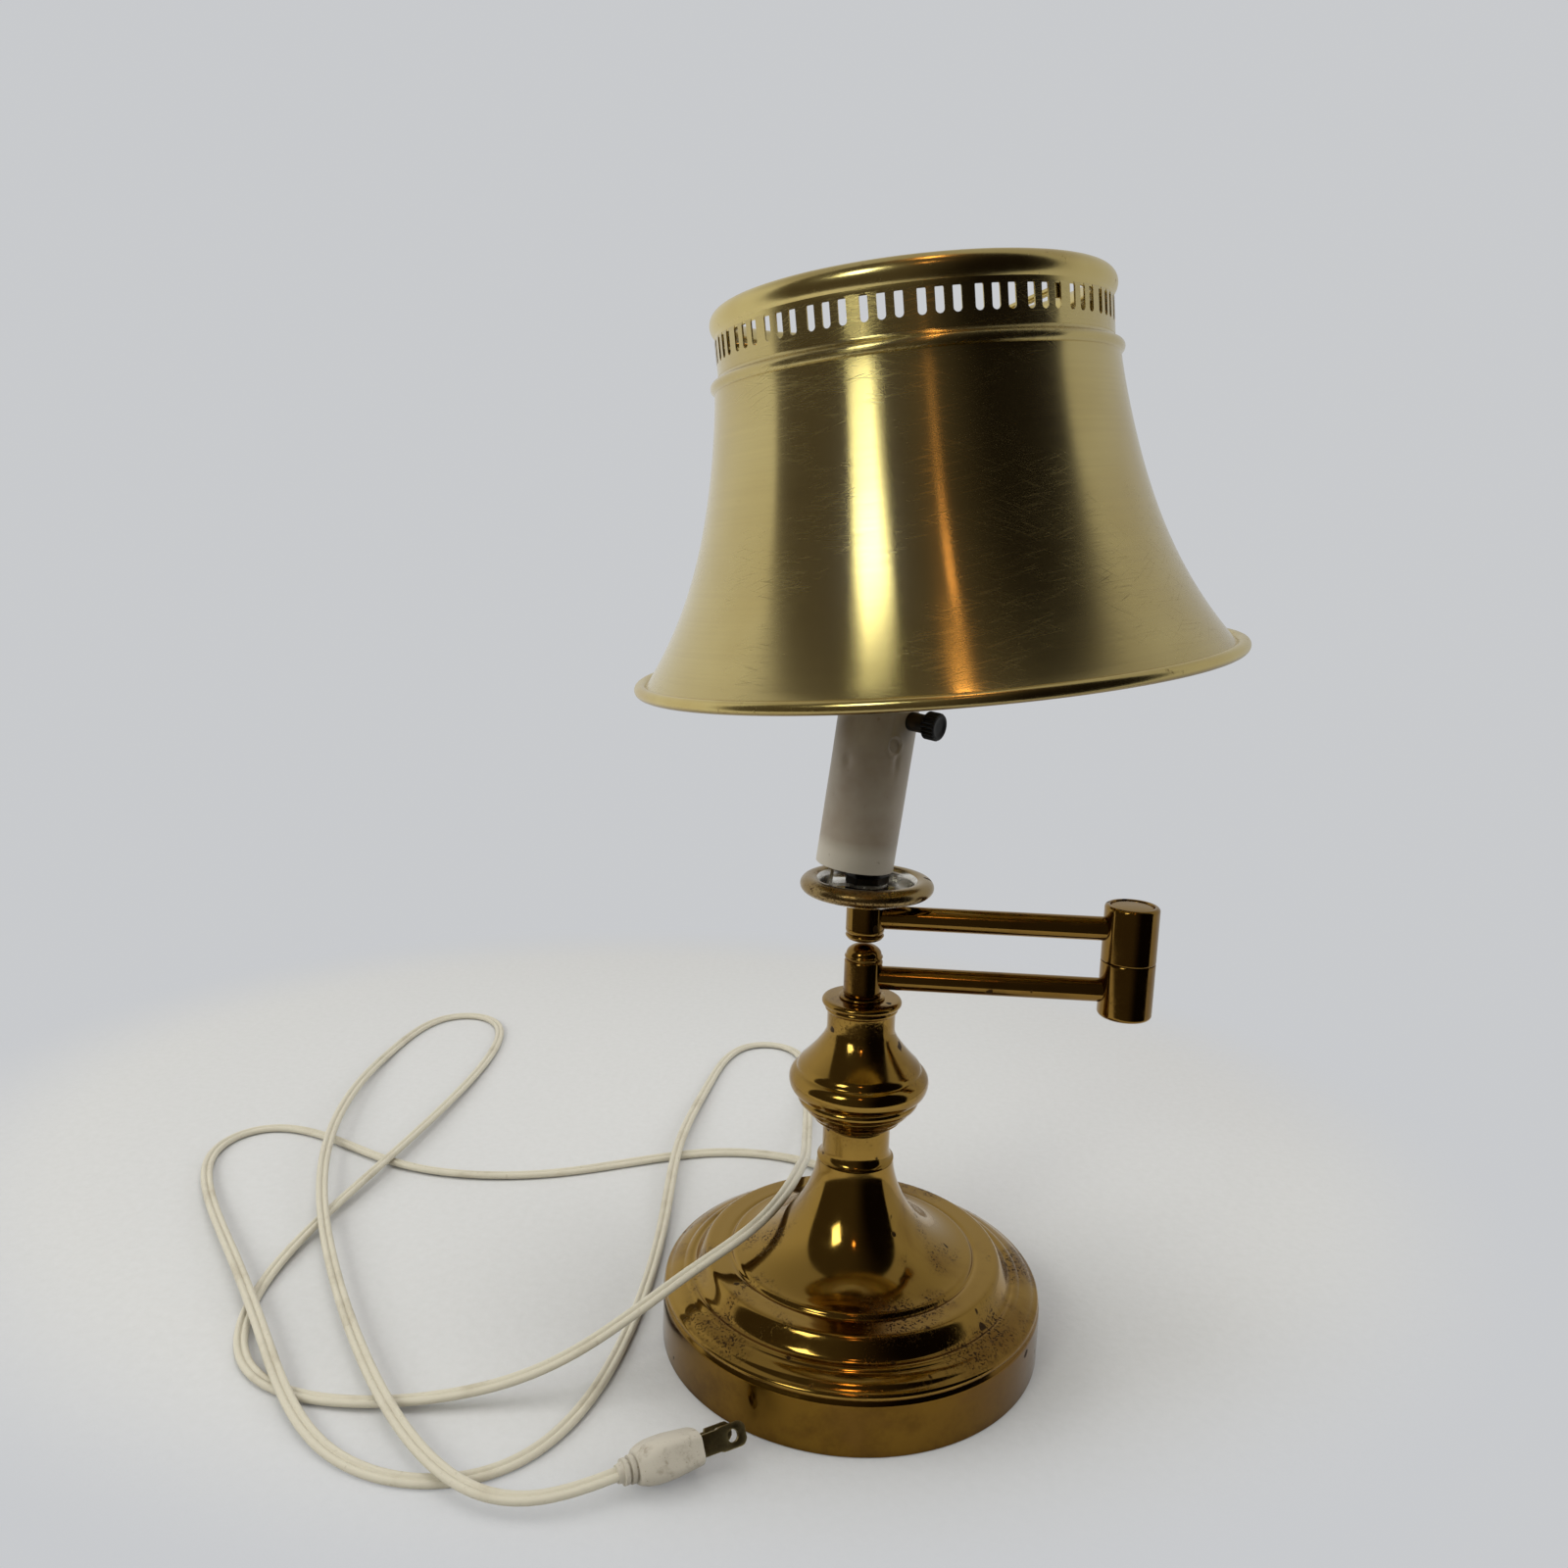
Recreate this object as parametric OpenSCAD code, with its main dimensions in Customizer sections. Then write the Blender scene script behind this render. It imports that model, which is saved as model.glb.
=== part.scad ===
/* [Base] */
// Outer diameter of the round base
base_d = 152; // [140:1:176]
// Height of the upright rim of the base
rim_h = 20.6; // [18:0.2:26]
// Thickness of the spun brass sheet
sheet = 1; // [0.7:0.1:1.3]
// Diameter of the rolled bead on top of the rim
bead_d = 3; // [2.4:0.1:3.6]
// Width of the rounded shoulder inside the bead
shoulder_w = 8; // [6:0.5:9]
// Rise of the rounded shoulder above the rim
shoulder_rise = 7; // [5:0.2:9]
// Diameter of the narrow ridge round the dished top
ridge_d = 112; // [106:1:116]
// Rise of the ridge above the shoulder
ridge_rise = 5.8; // [4:0.2:9]
// Diameter at the foot of the flared cone
cone_foot_d = 96; // [86:1:99]
// Diameter at the top of the flared cone
cone_top_d = 30.4; // [28:0.2:34]
// Height of the flared cone
cone_h = 38; // [30:1:56]
// Thickness of the cast weight
weight_t = 12; // [9:0.5:15]
// Thickness of the felt pad
pad_t = 1.6; // [1:0.2:2.4]

/* [Column] */
// Outer diameter of the threaded lamp pipe
pipe_d = 10; // [9:0.1:10.4]
// Wall of the threaded lamp pipe
pipe_wall = 1.2; // [0.8:0.1:1.8]
// Diameter of the straight necks under and over the vase
neck_d = 26.8; // [24:0.2:28]
// Height of the neck under the vase
spool_h = 15; // [12:0.5:24]
// Widest diameter of the vase
vase_d = 55.4; // [48:0.2:62]
// Height of the vase with its upper neck
vase_h = 48.8; // [44:0.2:60]
// Diameter of the flange under the arms
collar_d = 31.4; // [28:0.2:36]
// Height of the flange under the arms
collar_h = 3; // [2.4:0.1:4]
// Diameter of the small ring on the flange
ring_d = 18; // [16:0.2:20]
// Height of the small ring on the flange
ring_h = 1.1; // [0.8:0.1:2]

/* [Arms] */
// Distance from the column axis to the elbow axis
arm_reach = 101; // [90:1:150]
// Outer diameter of the arm tubes
arm_d = 9.2; // [8.4:0.1:10]
// Wall of the arm tubes
arm_wall = 0.9; // [0.6:0.1:1.4]
// Diameter of the two round hubs on the column axis
hub_d = 15; // [14.2:0.1:17]
// Height of the lower hub
lower_hub_h = 14.4; // [13.6:0.2:18]
// Height of the domed cap on the lower hub
dome_h = 6.2; // [4:0.2:9]
// Open gap between the lower dome and the upper hub
fold_gap = 1.2; // [0.8:0.1:3]
// Height of the flat cap under the upper hub
upper_cap_h = 3.5; // [3:0.1:5]
// Height of the upper hub
upper_hub_h = 13.1; // [12.4:0.1:18]
// Diameter of the elbow
elbow_d = 20.6; // [18:0.2:26]
// Metal of the elbow beyond each tube's centre line
elbow_over = 9.8; // [8:0.1:14]
// Diameter of the elbow's pin
pin_d = 7; // [5:0.1:8]
// Gap between pieces that swivel on each other
swivel_gap = 0.2; // [0.1:0.05:0.4]

/* [Drip pan] */
// Outer diameter of the rolled rim
pan_d = 51.6; // [46:0.2:60]
// Width of the roll
pan_roll_w = 7.9; // [6:0.1:9]
// Height of the roll
pan_roll_h = 6.5; // [5:0.1:7.5]
// Height of the pan from its floor to the top of its roll
pan_h = 9; // [8:0.1:12]
// Diameter of the threaded nipple under the socket
nipple_d = 9.8; // [9:0.1:10]
// Thickness of the hexagon nuts
nut_t = 2.5; // [2:0.1:3.5]

/* [Candle] */
// Outer diameter of the plastic candle sleeve
sleeve_d = 30; // [29:0.1:32]
// Wall of the candle sleeve
sleeve_wall = 0.9; // [0.6:0.1:1.2]
// Length of the candle sleeve
sleeve_len = 98.6; // [98:0.2:110]
// Lean of the candle to the right in degrees
sleeve_lean = 6.5; // [0:0.1:8]
// Sideways place of the sleeve's foot
sleeve_x = -5.1; // [-6:0.1:0]
// Height of the sleeve's foot above the pan
sleeve_up = 4.4; // [3:0.1:9]
// Height of the socket's base above the sleeve's foot
socket_up = 37.8; // [34:0.2:40]
// Height of the switch knob above the sleeve's foot
knob_up = 59; // [48:0.5:60]
// Turn of the switch knob from the arm, in degrees
knob_az = -35; // [-90:1:0]
// Diameter of the switch knob
knob_d = 10.5; // [8:0.1:13]
// Thickness of the switch knob
knob_t = 5; // [4:0.1:7]
// Distance from the candle's axis to the back of the knob
knob_out = 22.5; // [20:0.1:26]
// Diameter of the switch's threaded neck
bush_d = 7; // [6:0.1:8]
// Diameter of the switch's shaft
shaft_d = 3.2; // [2.4:0.1:4]

/* [Bulb] */
// Widest diameter of the bulb
bulb_d = 60; // [56:0.5:64]
// Diameter of the bulb's screw cap
cap_d = 26; // [25.4:0.1:26.2]
// Height of the bulb's contact above the socket's base
contact_up = 35.2; // [34:0.2:38]
// Height of the bulb's centre above its contact
bulb_up = 79.6; // [76:0.2:84]

/* [Shade] */
// Outer diameter over the bottom bead
shade_d = 222.8; // [200:1:250]
// Thickness of the bottom bead
shade_bead = 4.6; // [3:0.1:6]
// Thickness of the shade's brass sheet
shade_sheet = 0.6; // [0.5:0.1:1]
// Diameter of the body where it meets the gallery
waist_d = 143; // [130:1:150]
// Height of the flared body
body_h = 100; // [90:1:120]
// Diameter of the pierced gallery
gallery_d = 139.2; // [124:0.2:140]
// Height of the pierced gallery above the body
gallery_h = 19.5; // [17:0.5:26]
// Thickness of the roll on top
roll_d = 9.6; // [7:0.1:11]
// Width of one slot
slot_w = 2.7; // [1.6:0.1:3]
// Length of one slot
slot_h = 8.4; // [5:0.1:10]
// Groups of three slots round the gallery
slot_groups = 25; // [15:1:25]
// Height of the bulb's centre above the bottom bead
shade_drop = 72.9; // [64:0.1:80]
// Lean of the shade to the left in degrees
shade_lean = 6.66; // [0:0.01:10]
// Lean of the shade to the front in degrees
shade_nod = 2.52; // [0:0.01:4]
// Diameter of the clip's wire
clip_wire = 1.6; // [1.2:0.1:2]
// Width between the two wires of a clip finger
clip_w = 16; // [12:0.5:22]
// Diameter of the spider's three arms
spider_wire = 2.4; // [2:0.1:3.2]
// Diameter of the clip's stud
stud_d = 4; // [3:0.1:5]

/* [Cord and plug] */
// Width of the flat twin cord
cord_w = 5.4; // [5:0.1:6]
// Thickness of the flat twin cord
cord_t = 2.8; // [2.4:0.1:3]
// Direction in which the cord leaves the base, in degrees
exit_az = 94; // [90:1:98]
// Height of the cord at the base's rim
exit_z = 5.5; // [5:0.1:7]
// Length of the tapered strain relief outside the rim
relief_len = 21; // [20:0.5:24]
// Length of the plug's body
plug_len = 28; // [24:0.5:32]
// Width of the plug's body
plug_w = 22; // [20:0.5:24]
// Thickness of the plug's body
plug_t = 11.5; // [10:0.5:13]
// Length of the blades
blade_len = 17; // [15:0.1:18]
// Distance between the blades
blade_gap = 12.7; // [12:0.1:13]

/* [Fits] */
// Radial clearance of pieces that turn on each other
run_fit = 0.05; // [0.02:0.01:0.1]
// Radial clearance of pieces that are fixed in each other
seat_fit = 0.05; // [0.02:0.01:0.1]

/* [Hidden] */
$fn = 96;

// Radii and heights of the base
base_r = base_d / 2;
bead_r = bead_d / 2;
shoulder_z = rim_h + shoulder_rise;
shoulder_r = base_r - bead_d - shoulder_w;
ridge_r = ridge_d / 2;
ridge_z = shoulder_z + ridge_rise;
foot_r = cone_foot_d / 2;
foot_z = ridge_z + 3.1;
top_r = cone_top_d / 2;
base_top = foot_z + cone_h;
pipe_r = pipe_d / 2;
nut_r = pipe_r + 4;
weight_z = pad_t + weight_t;

// Heights along the column
neck_r = neck_d / 2;
vase_r = vase_d / 2;
spool_top = base_top + spool_h;
vase_top = spool_top + vase_h;
collar_top = vase_top + collar_h;
ring_top = collar_top + ring_h;

// Hubs, tubes and elbow
arm_r = arm_d / 2;
hub_r = hub_d / 2;
elbow_r = elbow_d / 2;
pin_r = pin_d / 2;
low_z = ring_top + swivel_gap;
low_tube = low_z + lower_hub_h / 2 - 0.2;
low_top = low_z + lower_hub_h;
dome_top = low_top + dome_h;
up_z = dome_top + fold_gap;
up_hub_z = up_z + upper_cap_h;
up_tube = up_hub_z + upper_hub_h / 2 - 0.45;
up_top = up_hub_z + upper_hub_h;
seam_z = (low_tube + up_tube) / 2;
tube_start = pipe_r + run_fit + 0.55;
tube_end = arm_reach - pin_r - 3;

// Pan, candle, socket and bulb
pan_r = pan_d / 2;
pan_top = up_top + pan_h;
nipple_r = nipple_d / 2;
foot_top = up_top + 0.8 + 2 * nut_t + 1.2;
sleeve_r = sleeve_d / 2;
socket_r = sleeve_r - sleeve_wall - 0.2;
shell_r = socket_r - 0.4;
socket_top = sleeve_len - 2;
contact_z = socket_up + contact_up;
cap_h = 24.5;
cap_top = contact_z + cap_h;
bulb_z = contact_z + bulb_up;
bulb_r = bulb_d / 2;
bush_r = bush_d / 2;
shaft_r = shaft_d / 2;

// Shade and its clip, measured from the bulb's centre
clip_r = bulb_r + 0.5 + clip_wire / 2;
plate_z = bulb_r + 1;
wire_top = sqrt(clip_r * clip_r - clip_w * clip_w / 4 - 64);
stud_top = plate_z + 13;
spider_z = plate_z + 6;
shade_r = shade_d / 2 - shade_bead / 2;
gallery_r = gallery_d / 2;
waist_r = waist_d / 2;
gallery_top = body_h + gallery_h;
roll_r = roll_d / 2;
slot_z = gallery_top - 4.7;

// Distance between two points of a plane
function gap2(a, b) = sqrt(pow(a[0] - b[0], 2) + pow(a[1] - b[1], 2));
// Unit normal to the left of the direction from a to b
function left(a, b) = [a[1] - b[1], b[0] - a[0]] / gap2(a, b);
// Closed outline of a sheet of thickness t to the left of a line of points
function sheet_line(p, t) = let(n = len(p) - 1) concat(p,
    [for (i = [n:-1:0]) p[i] + t * left(p[max(i - 1, 0)], p[min(i + 1, n)])]);
// Points on an oval arc round c
function oval(c, rx, rz, a, b, n) = [for (i = [0:n])
    [c[0] + rx * cos(a + (b - a) * i / n), c[1] + rz * sin(a + (b - a) * i / n)]];

// Outer line of the base from its lower edge to the top of its cone
base_line = concat(
    [[base_r, 0.3], [base_r, rim_h - 0.6], [base_r - 0.3, rim_h]],
    oval([base_r - bead_r - 0.5, rim_h + bead_r + 0.4], bead_r, bead_r, -40, 80, 6),
    oval([shoulder_r, rim_h + bead_r + 1.4], shoulder_w, shoulder_z - rim_h - bead_r - 1.4, 68, 90, 4),
    [[shoulder_r - 0.6, shoulder_z + 0.8], [shoulder_r - 3, shoulder_z + 1]],
    oval([shoulder_r - 3, ridge_z], shoulder_r - 3.6 - ridge_r, ridge_rise - 1, 270, 190, 6),
    [[ridge_r - 0.6, ridge_z + 0.2], [(ridge_r + foot_r) / 2, ridge_z + 0.4],
     [foot_r + 1, ridge_z + 1.3], [foot_r + 0.4, ridge_z + 2.2]],
    [for (i = [0:16]) let(h = pow(i / 16, 1.7))
        [top_r + (foot_r - top_r) * pow(1 - pow(h, 0.6), 1.55), foot_z + cone_h * h]]);

// Outer line of the vase
vase_line = concat(
    [[neck_r + 0.7, spool_top], [neck_r + 2.6, spool_top + 2]],
    oval([vase_r - 10.6, spool_top + 17], 9.3, 13.4, 275, 335, 7),
    [[vase_r - 2.7, spool_top + 12.8], [vase_r - 1.4, spool_top + 13.6]],
    oval([vase_r - 5.6, spool_top + 19], 5.6, 5.6, -25, 42, 6),
    [for (i = [1:8]) let(h = i / 8)
        [neck_r + (vase_r - 1.4 - neck_r) * pow(1 - h, 1.35), spool_top + 22.8 + 16 * h]],
    [[neck_r, vase_top]]);

// Outer line of the shade from the bottom bead to the inside of the top roll
shade_line = concat(
    [[shade_r - 1, 0.6]],
    [for (i = [0:20]) let(h = i / 20)
        [waist_r + (shade_r - 3 - waist_r) * (0.45 * pow(1 - h, 3.3) + 0.55 * pow(1 - h, 1.2)),
         2 + (body_h - 2) * h]],
    [[waist_r - 0.2, body_h + 4.6], [gallery_r + 0.4, body_h + 5.4], [gallery_r, body_h + 6.2],
     [gallery_r, gallery_top - 0.6]],
    oval([gallery_r + 1.4 - roll_r, gallery_top + roll_r - 0.6], roll_r, roll_r, -52, 222, 22));

// Profile of the drip pan's sheet
pan_line = concat([[pan_r - pan_roll_w - 6.4, 0], [pan_r - pan_roll_w - 3.4, 0.5],
    [pan_r - pan_roll_w - 1.2, 1.9], [pan_r - pan_roll_w - 0.3, 3.6]],
    oval([pan_r - pan_roll_w / 2, pan_h - pan_roll_h / 2], pan_roll_w / 2, pan_roll_h / 2, 180, -100, 20));

module turned(p) rotate_extrude() polygon(p);
module tube(h, ro, ri) difference() {
    cylinder(h = h, r = ro);
    translate([0, 0, -1]) cylinder(h = h + 2, r = ri);
}
module hex_nut(h, bore) difference() {
    cylinder(h = h, r = bore + 3.4, $fn = 6);
    translate([0, 0, -1]) cylinder(h = h + 2, r = bore + seat_fit);
}
module ring(r, w) rotate_extrude() translate([r, 0]) circle(r = w, $fn = 32);
module in_candle() translate([sleeve_x, 0, pan_top + sleeve_up]) rotate([0, sleeve_lean, 0]) children();
module in_switch() in_candle() translate([0, 0, knob_up]) rotate([0, 0, knob_az]) rotate([0, 90, 0])
    children();
module in_shade() in_candle() translate([0, 0, bulb_z]) rotate([0, -sleeve_lean, 0])
    rotate([shade_nod, -shade_lean, 0]) children();

module base_shell() color("darkgoldenrod") difference() {
    turned(sheet_line(base_line, sheet));
    translate([0, 0, exit_z]) rotate([0, 90, exit_az]) cylinder(h = base_r + 5, r = 3.6 + seat_fit);
}
module base_weight() color("dimgray") difference() {
    translate([0, 0, pad_t]) cylinder(h = weight_t, r = base_r - sheet - 0.3);
    cylinder(h = 60, r = pipe_r + 0.2);
    translate([0, 0, pad_t - 1]) cylinder(h = 4.4 + 1, r = nut_r + 2);
    rotate([0, 0, exit_az]) translate([0, -6, pad_t - 1]) cube([base_r + 5, 12, exit_z + 6 - pad_t]);
}
module base_pad() color("darkgreen") cylinder(h = pad_t, r = base_r - sheet - 2);
module base_spacer() color("gray") translate([0, 0, weight_z])
    tube(base_top - sheet - weight_z, pipe_r + 2.2, pipe_r + seat_fit);
module base_nut() color("silver") translate([0, 0, pad_t + 4.4 - 3]) difference() {
    cylinder(h = 3, r = nut_r, $fn = 6);
    translate([0, 0, -1]) cylinder(h = 5, r = pipe_r + seat_fit);
}
module lamp_pipe() color("gray") translate([0, 0, pad_t + 0.6])
    tube(low_z + lower_hub_h - 4 - pad_t - 0.6, pipe_r, pipe_r - pipe_wall);
module base_cap_line() turned([[pipe_r + seat_fit, base_top - sheet], [top_r - sheet - 0.3, base_top - sheet],
    [top_r - sheet - 0.3, base_top], [pipe_r + seat_fit, base_top]]);
module neck_spool() color("goldenrod") {
    base_cap_line();
    difference() {
        turned(concat([[pipe_r + seat_fit, base_top], [top_r, base_top], [top_r, base_top + 0.6]],
            [for (i = [0:5])
                [neck_r + (top_r - 0.4 - neck_r) * pow(1 - i / 5, 2), base_top + 0.6 + 3.4 * i / 5]],
            [[neck_r, spool_top], [pipe_r + seat_fit, spool_top]]));
        translate([0, 0, base_top + 2]) tube(spool_h - 3.4, neck_r - 1.6, pipe_r + 1.6);
    }
}
module vase_body() color("darkgoldenrod") difference() {
    turned(concat([[pipe_r + seat_fit, spool_top]], vase_line, [[pipe_r + seat_fit, vase_top]]));
    turned(concat([[pipe_r + 1.5, spool_top + 1.4], [neck_r, spool_top + 1.4]],
        oval([vase_r - 11, spool_top + 17], 8, 12.6, 280, 330, 5),
        [[vase_r - 2.6, spool_top + 15.5], [vase_r - 1.6, spool_top + 19], [vase_r - 3, spool_top + 22.3]],
        [for (i = [1:6]) let(h = i / 6)
            [neck_r - 1.4 + (vase_r - 3.4 - neck_r) * pow(1 - h, 1.35), spool_top + 22.6 + 14 * h]],
        [[neck_r - 1.4, vase_top - 1.4], [pipe_r + 1.5, vase_top - 1.4]]));
}
module top_collar() color("goldenrod") translate([0, 0, vase_top])
    turned(concat([[pipe_r + seat_fit, 0], [neck_r + 0.6, 0], [neck_r + 0.6, 0.5]],
        oval([collar_d / 2 - 1.1, 0.5 + (collar_h - 0.5) / 2], 1.1, (collar_h - 0.5) / 2, -90, 90, 10),
        [[pipe_r + seat_fit, collar_h]]));
module bead_ring() color("goldenrod") translate([0, 0, collar_top])
    turned(concat([[pipe_r + seat_fit, 0]],
        oval([ring_d / 2 - ring_h / 2, ring_h / 2], ring_h / 2, ring_h / 2, -90, 90, 8),
        [[pipe_r + seat_fit, ring_h]]));

// A hub's outline with a shallow groove at each end
function hub_line(r, h, bore, floor_h) = [[bore, 0], [r - 0.5, 0], [r - 0.5, 0.3], [r, 0.7],
    [r, h - 0.7], [r - 0.5, h - 0.3], [r - 0.5, h], [bore, h]];
module side_bore(z, x0) translate([x0, 0, z]) rotate([0, 90, 0]) cylinder(h = 60, r = arm_r + seat_fit);
module lower_hub() color("darkgoldenrod") difference() {
    translate([0, 0, low_z]) turned(hub_line(hub_r, lower_hub_h, 0, 0));
    translate([0, 0, low_z - 1]) cylinder(h = lower_hub_h - 3, r = pipe_r + run_fit);
    translate([0, 0, low_top - 5]) cylinder(h = 6, r = 2.5 + seat_fit);
    side_bore(low_tube, pipe_r - 2);
}
module lower_cap() color("goldenrod") translate([0, 0, low_top]) {
    turned(concat([[0, 0], [hub_r - 0.7, 0], [hub_r - 0.7, 0.4], [hub_r, 0.8]],
        oval([0, 1.3], hub_r, dome_h - 1.3, 0, 90, 12)));
    translate([0, 0, -2.8]) cylinder(h = 2.8, r = 2.5);
}
module lower_tube() color("darkgoldenrod") translate([tube_start, 0, low_tube]) rotate([0, 90, 0])
    tube(tube_end - tube_start, arm_r, arm_r - arm_wall);
// One half of the elbow, from its seam outwards
module elbow_half(h) difference() {
    turned(concat([[0, 0], [elbow_r - 0.4, 0], [elbow_r, 0.4]],
        oval([elbow_r - 1.5, h - 1.5], 1.5, 1.5, 0, 90, 6),
        [[elbow_r - 2.2, h], [elbow_r - 2.2, h - 1], [0, h - 1]]));
    translate([0, 0, h - (elbow_over)]) rotate([0, -90, 0])
        translate([0, 0, pin_r + 2.8]) cylinder(h = 40, r = arm_r + seat_fit);
}
module elbow_disc()
    turned(concat([[0, 0], [elbow_r - 2.3, 0]], oval([0, 0.3], elbow_r - 2.3, 0.7, 0, 90, 8)));
module elbow_lower() color("darkgoldenrod") translate([arm_reach, 0, 0]) difference() {
    translate([0, 0, seam_z - swivel_gap / 2]) mirror([0, 0, 1])
        elbow_half(seam_z - swivel_gap / 2 - low_tube + elbow_over);
    translate([0, 0, low_tube]) cylinder(h = 40, r = pin_r + seat_fit);
}
module elbow_lower_disc() color("goldenrod")
    translate([arm_reach, 0, low_tube - elbow_over + 1]) mirror([0, 0, 1]) elbow_disc();
module elbow_pin() color("silver") translate([arm_reach, 0, low_tube + 0.3])
    cylinder(h = up_tube - low_tube - 0.9, r = pin_r);
module elbow_upper() color("darkgoldenrod") translate([arm_reach, 0, 0]) difference() {
    translate([0, 0, seam_z + swivel_gap / 2]) elbow_half(up_tube + elbow_over - seam_z - swivel_gap / 2);
    translate([0, 0, up_tube - 40]) cylinder(h = 40, r = pin_r + run_fit);
}
module elbow_upper_disc() color("goldenrod")
    translate([arm_reach, 0, up_tube + elbow_over - 1]) elbow_disc();
module upper_tube() color("darkgoldenrod") translate([tube_start, 0, up_tube]) rotate([0, 90, 0])
    tube(tube_end - tube_start, arm_r, arm_r - arm_wall);
module upper_hub() color("darkgoldenrod") difference() {
    translate([0, 0, up_hub_z]) turned(hub_line(hub_r, upper_hub_h, 0, 0));
    translate([0, 0, up_hub_z - 1]) cylinder(h = 4, r = 2.5 + seat_fit);
    translate([0, 0, up_hub_z + 3]) cylinder(h = upper_hub_h, r = nipple_r + seat_fit);
    side_bore(up_tube, nipple_r - 1);
}
module upper_cap() color("goldenrod") translate([0, 0, up_hub_z]) mirror([0, 0, 1]) {
    turned(concat([[0, 0], [hub_r - 0.7, 0], [hub_r - 0.7, 0.4], [hub_r, 0.8]],
        oval([0, 1.2], hub_r, upper_cap_h - 1.2, 0, 90, 10)));
    translate([0, 0, -2.4]) cylinder(h = 2.4, r = 2.5);
}

module pan_nipple() color("gray") translate([0, 0, up_hub_z + 3.4])
    tube(foot_top + nut_t + 0.8 - up_hub_z - 3.4, nipple_r, nipple_r - 1.1);
module drip_pan() color("goldenrod") translate([0, 0, up_top]) {
    turned(sheet_line(pan_line, -0.8));
    translate([0, 0, 0]) tube(0.8, pan_r - pan_roll_w - 6, nipple_r + seat_fit);
}
module pan_nut() color("silver") translate([0, 0, up_top + 0.8]) hex_nut(2 * nut_t, nipple_r);
module bracket_nut() color("silver") translate([0, 0, foot_top]) hex_nut(nut_t, nipple_r);
// A flat foot on the nipple, a strap up inside the sleeve and a flange under the socket
module socket_bracket() color("gray") {
    difference() {
        union() {
            translate([sleeve_x - 8.7, -4.5, foot_top - 1.2]) cube([8.7 - sleeve_x, 9, 1.2]);
            translate([0, 0, foot_top - 1.2]) cylinder(h = 1.2, r = nipple_r + 3);
        }
        translate([0, 0, foot_top - 5]) cylinder(h = 10, r = nipple_r + seat_fit);
    }
    in_candle() {
        strap_z = foot_top - pan_top - sleeve_up - 2;
        translate([-8.6, -4.5, strap_z]) cube([1.2, 9, socket_up - 0.05 - strap_z]);
        difference() {
            translate([-8.6, -4.5, socket_up - 1.25]) cube([14.6, 9, 1.2]);
            translate([0, 0, socket_up - 5]) cylinder(h = 10, r = 1.5 + seat_fit);
        }
    }
}
module socket_screw() color("silver") in_candle() {
    translate([0, 0, socket_up - 2.85]) cylinder(h = 1.6, r = 2.8);
    translate([0, 0, socket_up - 1.25]) cylinder(h = 7, r = 1.5);
}
module socket_body() color("saddlebrown") in_candle() difference() {
    translate([0, 0, socket_up]) cylinder(h = socket_top - socket_up, r = socket_r);
    translate([0, 0, contact_z - 2]) cylinder(h = sleeve_len, r = shell_r + seat_fit);
    translate([0, 0, socket_up - 1]) cylinder(h = 8, r = 1.5 + seat_fit);
    translate([0, 0, knob_up]) rotate([0, 90, knob_az]) cylinder(h = 40, r = shaft_r + run_fit);
    translate([0, 0, knob_up]) rotate([0, 90, knob_az]) translate([0, 0, socket_r - 2.5])
        cylinder(h = 40, r = bush_r + seat_fit);
}
module screw_shell() color("goldenrod") in_candle() translate([0, 0, contact_z - 2])
    tube(socket_top - contact_z + 1, shell_r, shell_r - 0.3);
module centre_contact() color("goldenrod") in_candle() translate([0, 0, contact_z - 2]) {
    cylinder(h = 0.6, r = 5);
    cylinder(h = 2, r = 2.4);
}
module switch_neck() color("gold") in_switch() translate([0, 0, socket_r - 2.5])
    tube(knob_out - socket_r + 2.2, bush_r, shaft_r + run_fit);
module candle_sleeve() color("ivory") in_candle() difference() {
    tube(sleeve_len, sleeve_r, sleeve_r - sleeve_wall);
    translate([0, 0, knob_up]) rotate([0, 90, knob_az]) cylinder(h = 40, r = bush_r + 0.2);
}
module switch_shaft() color("silver") in_switch() translate([0, 0, 4])
    cylinder(h = knob_out - 1, r = shaft_r);
module switch_knob() color("black") in_switch() translate([0, 0, knob_out]) difference() {
    union() {
        cylinder(h = knob_t - 0.6, r = knob_d / 2 - 0.35);
        cylinder(h = knob_t, r = knob_d / 2 - 1.1);
        for (i = [0:17]) rotate([0, 0, 20 * i]) translate([knob_d / 2 - 0.8, 0, 0])
            cylinder(h = knob_t - 0.8, r = 0.7, $fn = 16);
    }
    translate([0, 0, -1]) cylinder(h = 4 + 0.05, r = shaft_r + seat_fit);
}

cap_r = min(cap_d / 2, shell_r - 0.35);
module bulb_cap() color("silver") in_candle() translate([0, 0, contact_z])
    turned(concat([[0, 0], [2.6, 0], [4.2, 1], [8.6, 3.6], [cap_r - 1.4, 4.4]],
        [for (i = [0:10]) [cap_r - (i % 2 == 0 ? 1.1 : 0), 5.2 + (cap_h - 6.5) / 10 * i]],
        [[cap_r - 0.4, cap_h], [0, cap_h]]));
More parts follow.
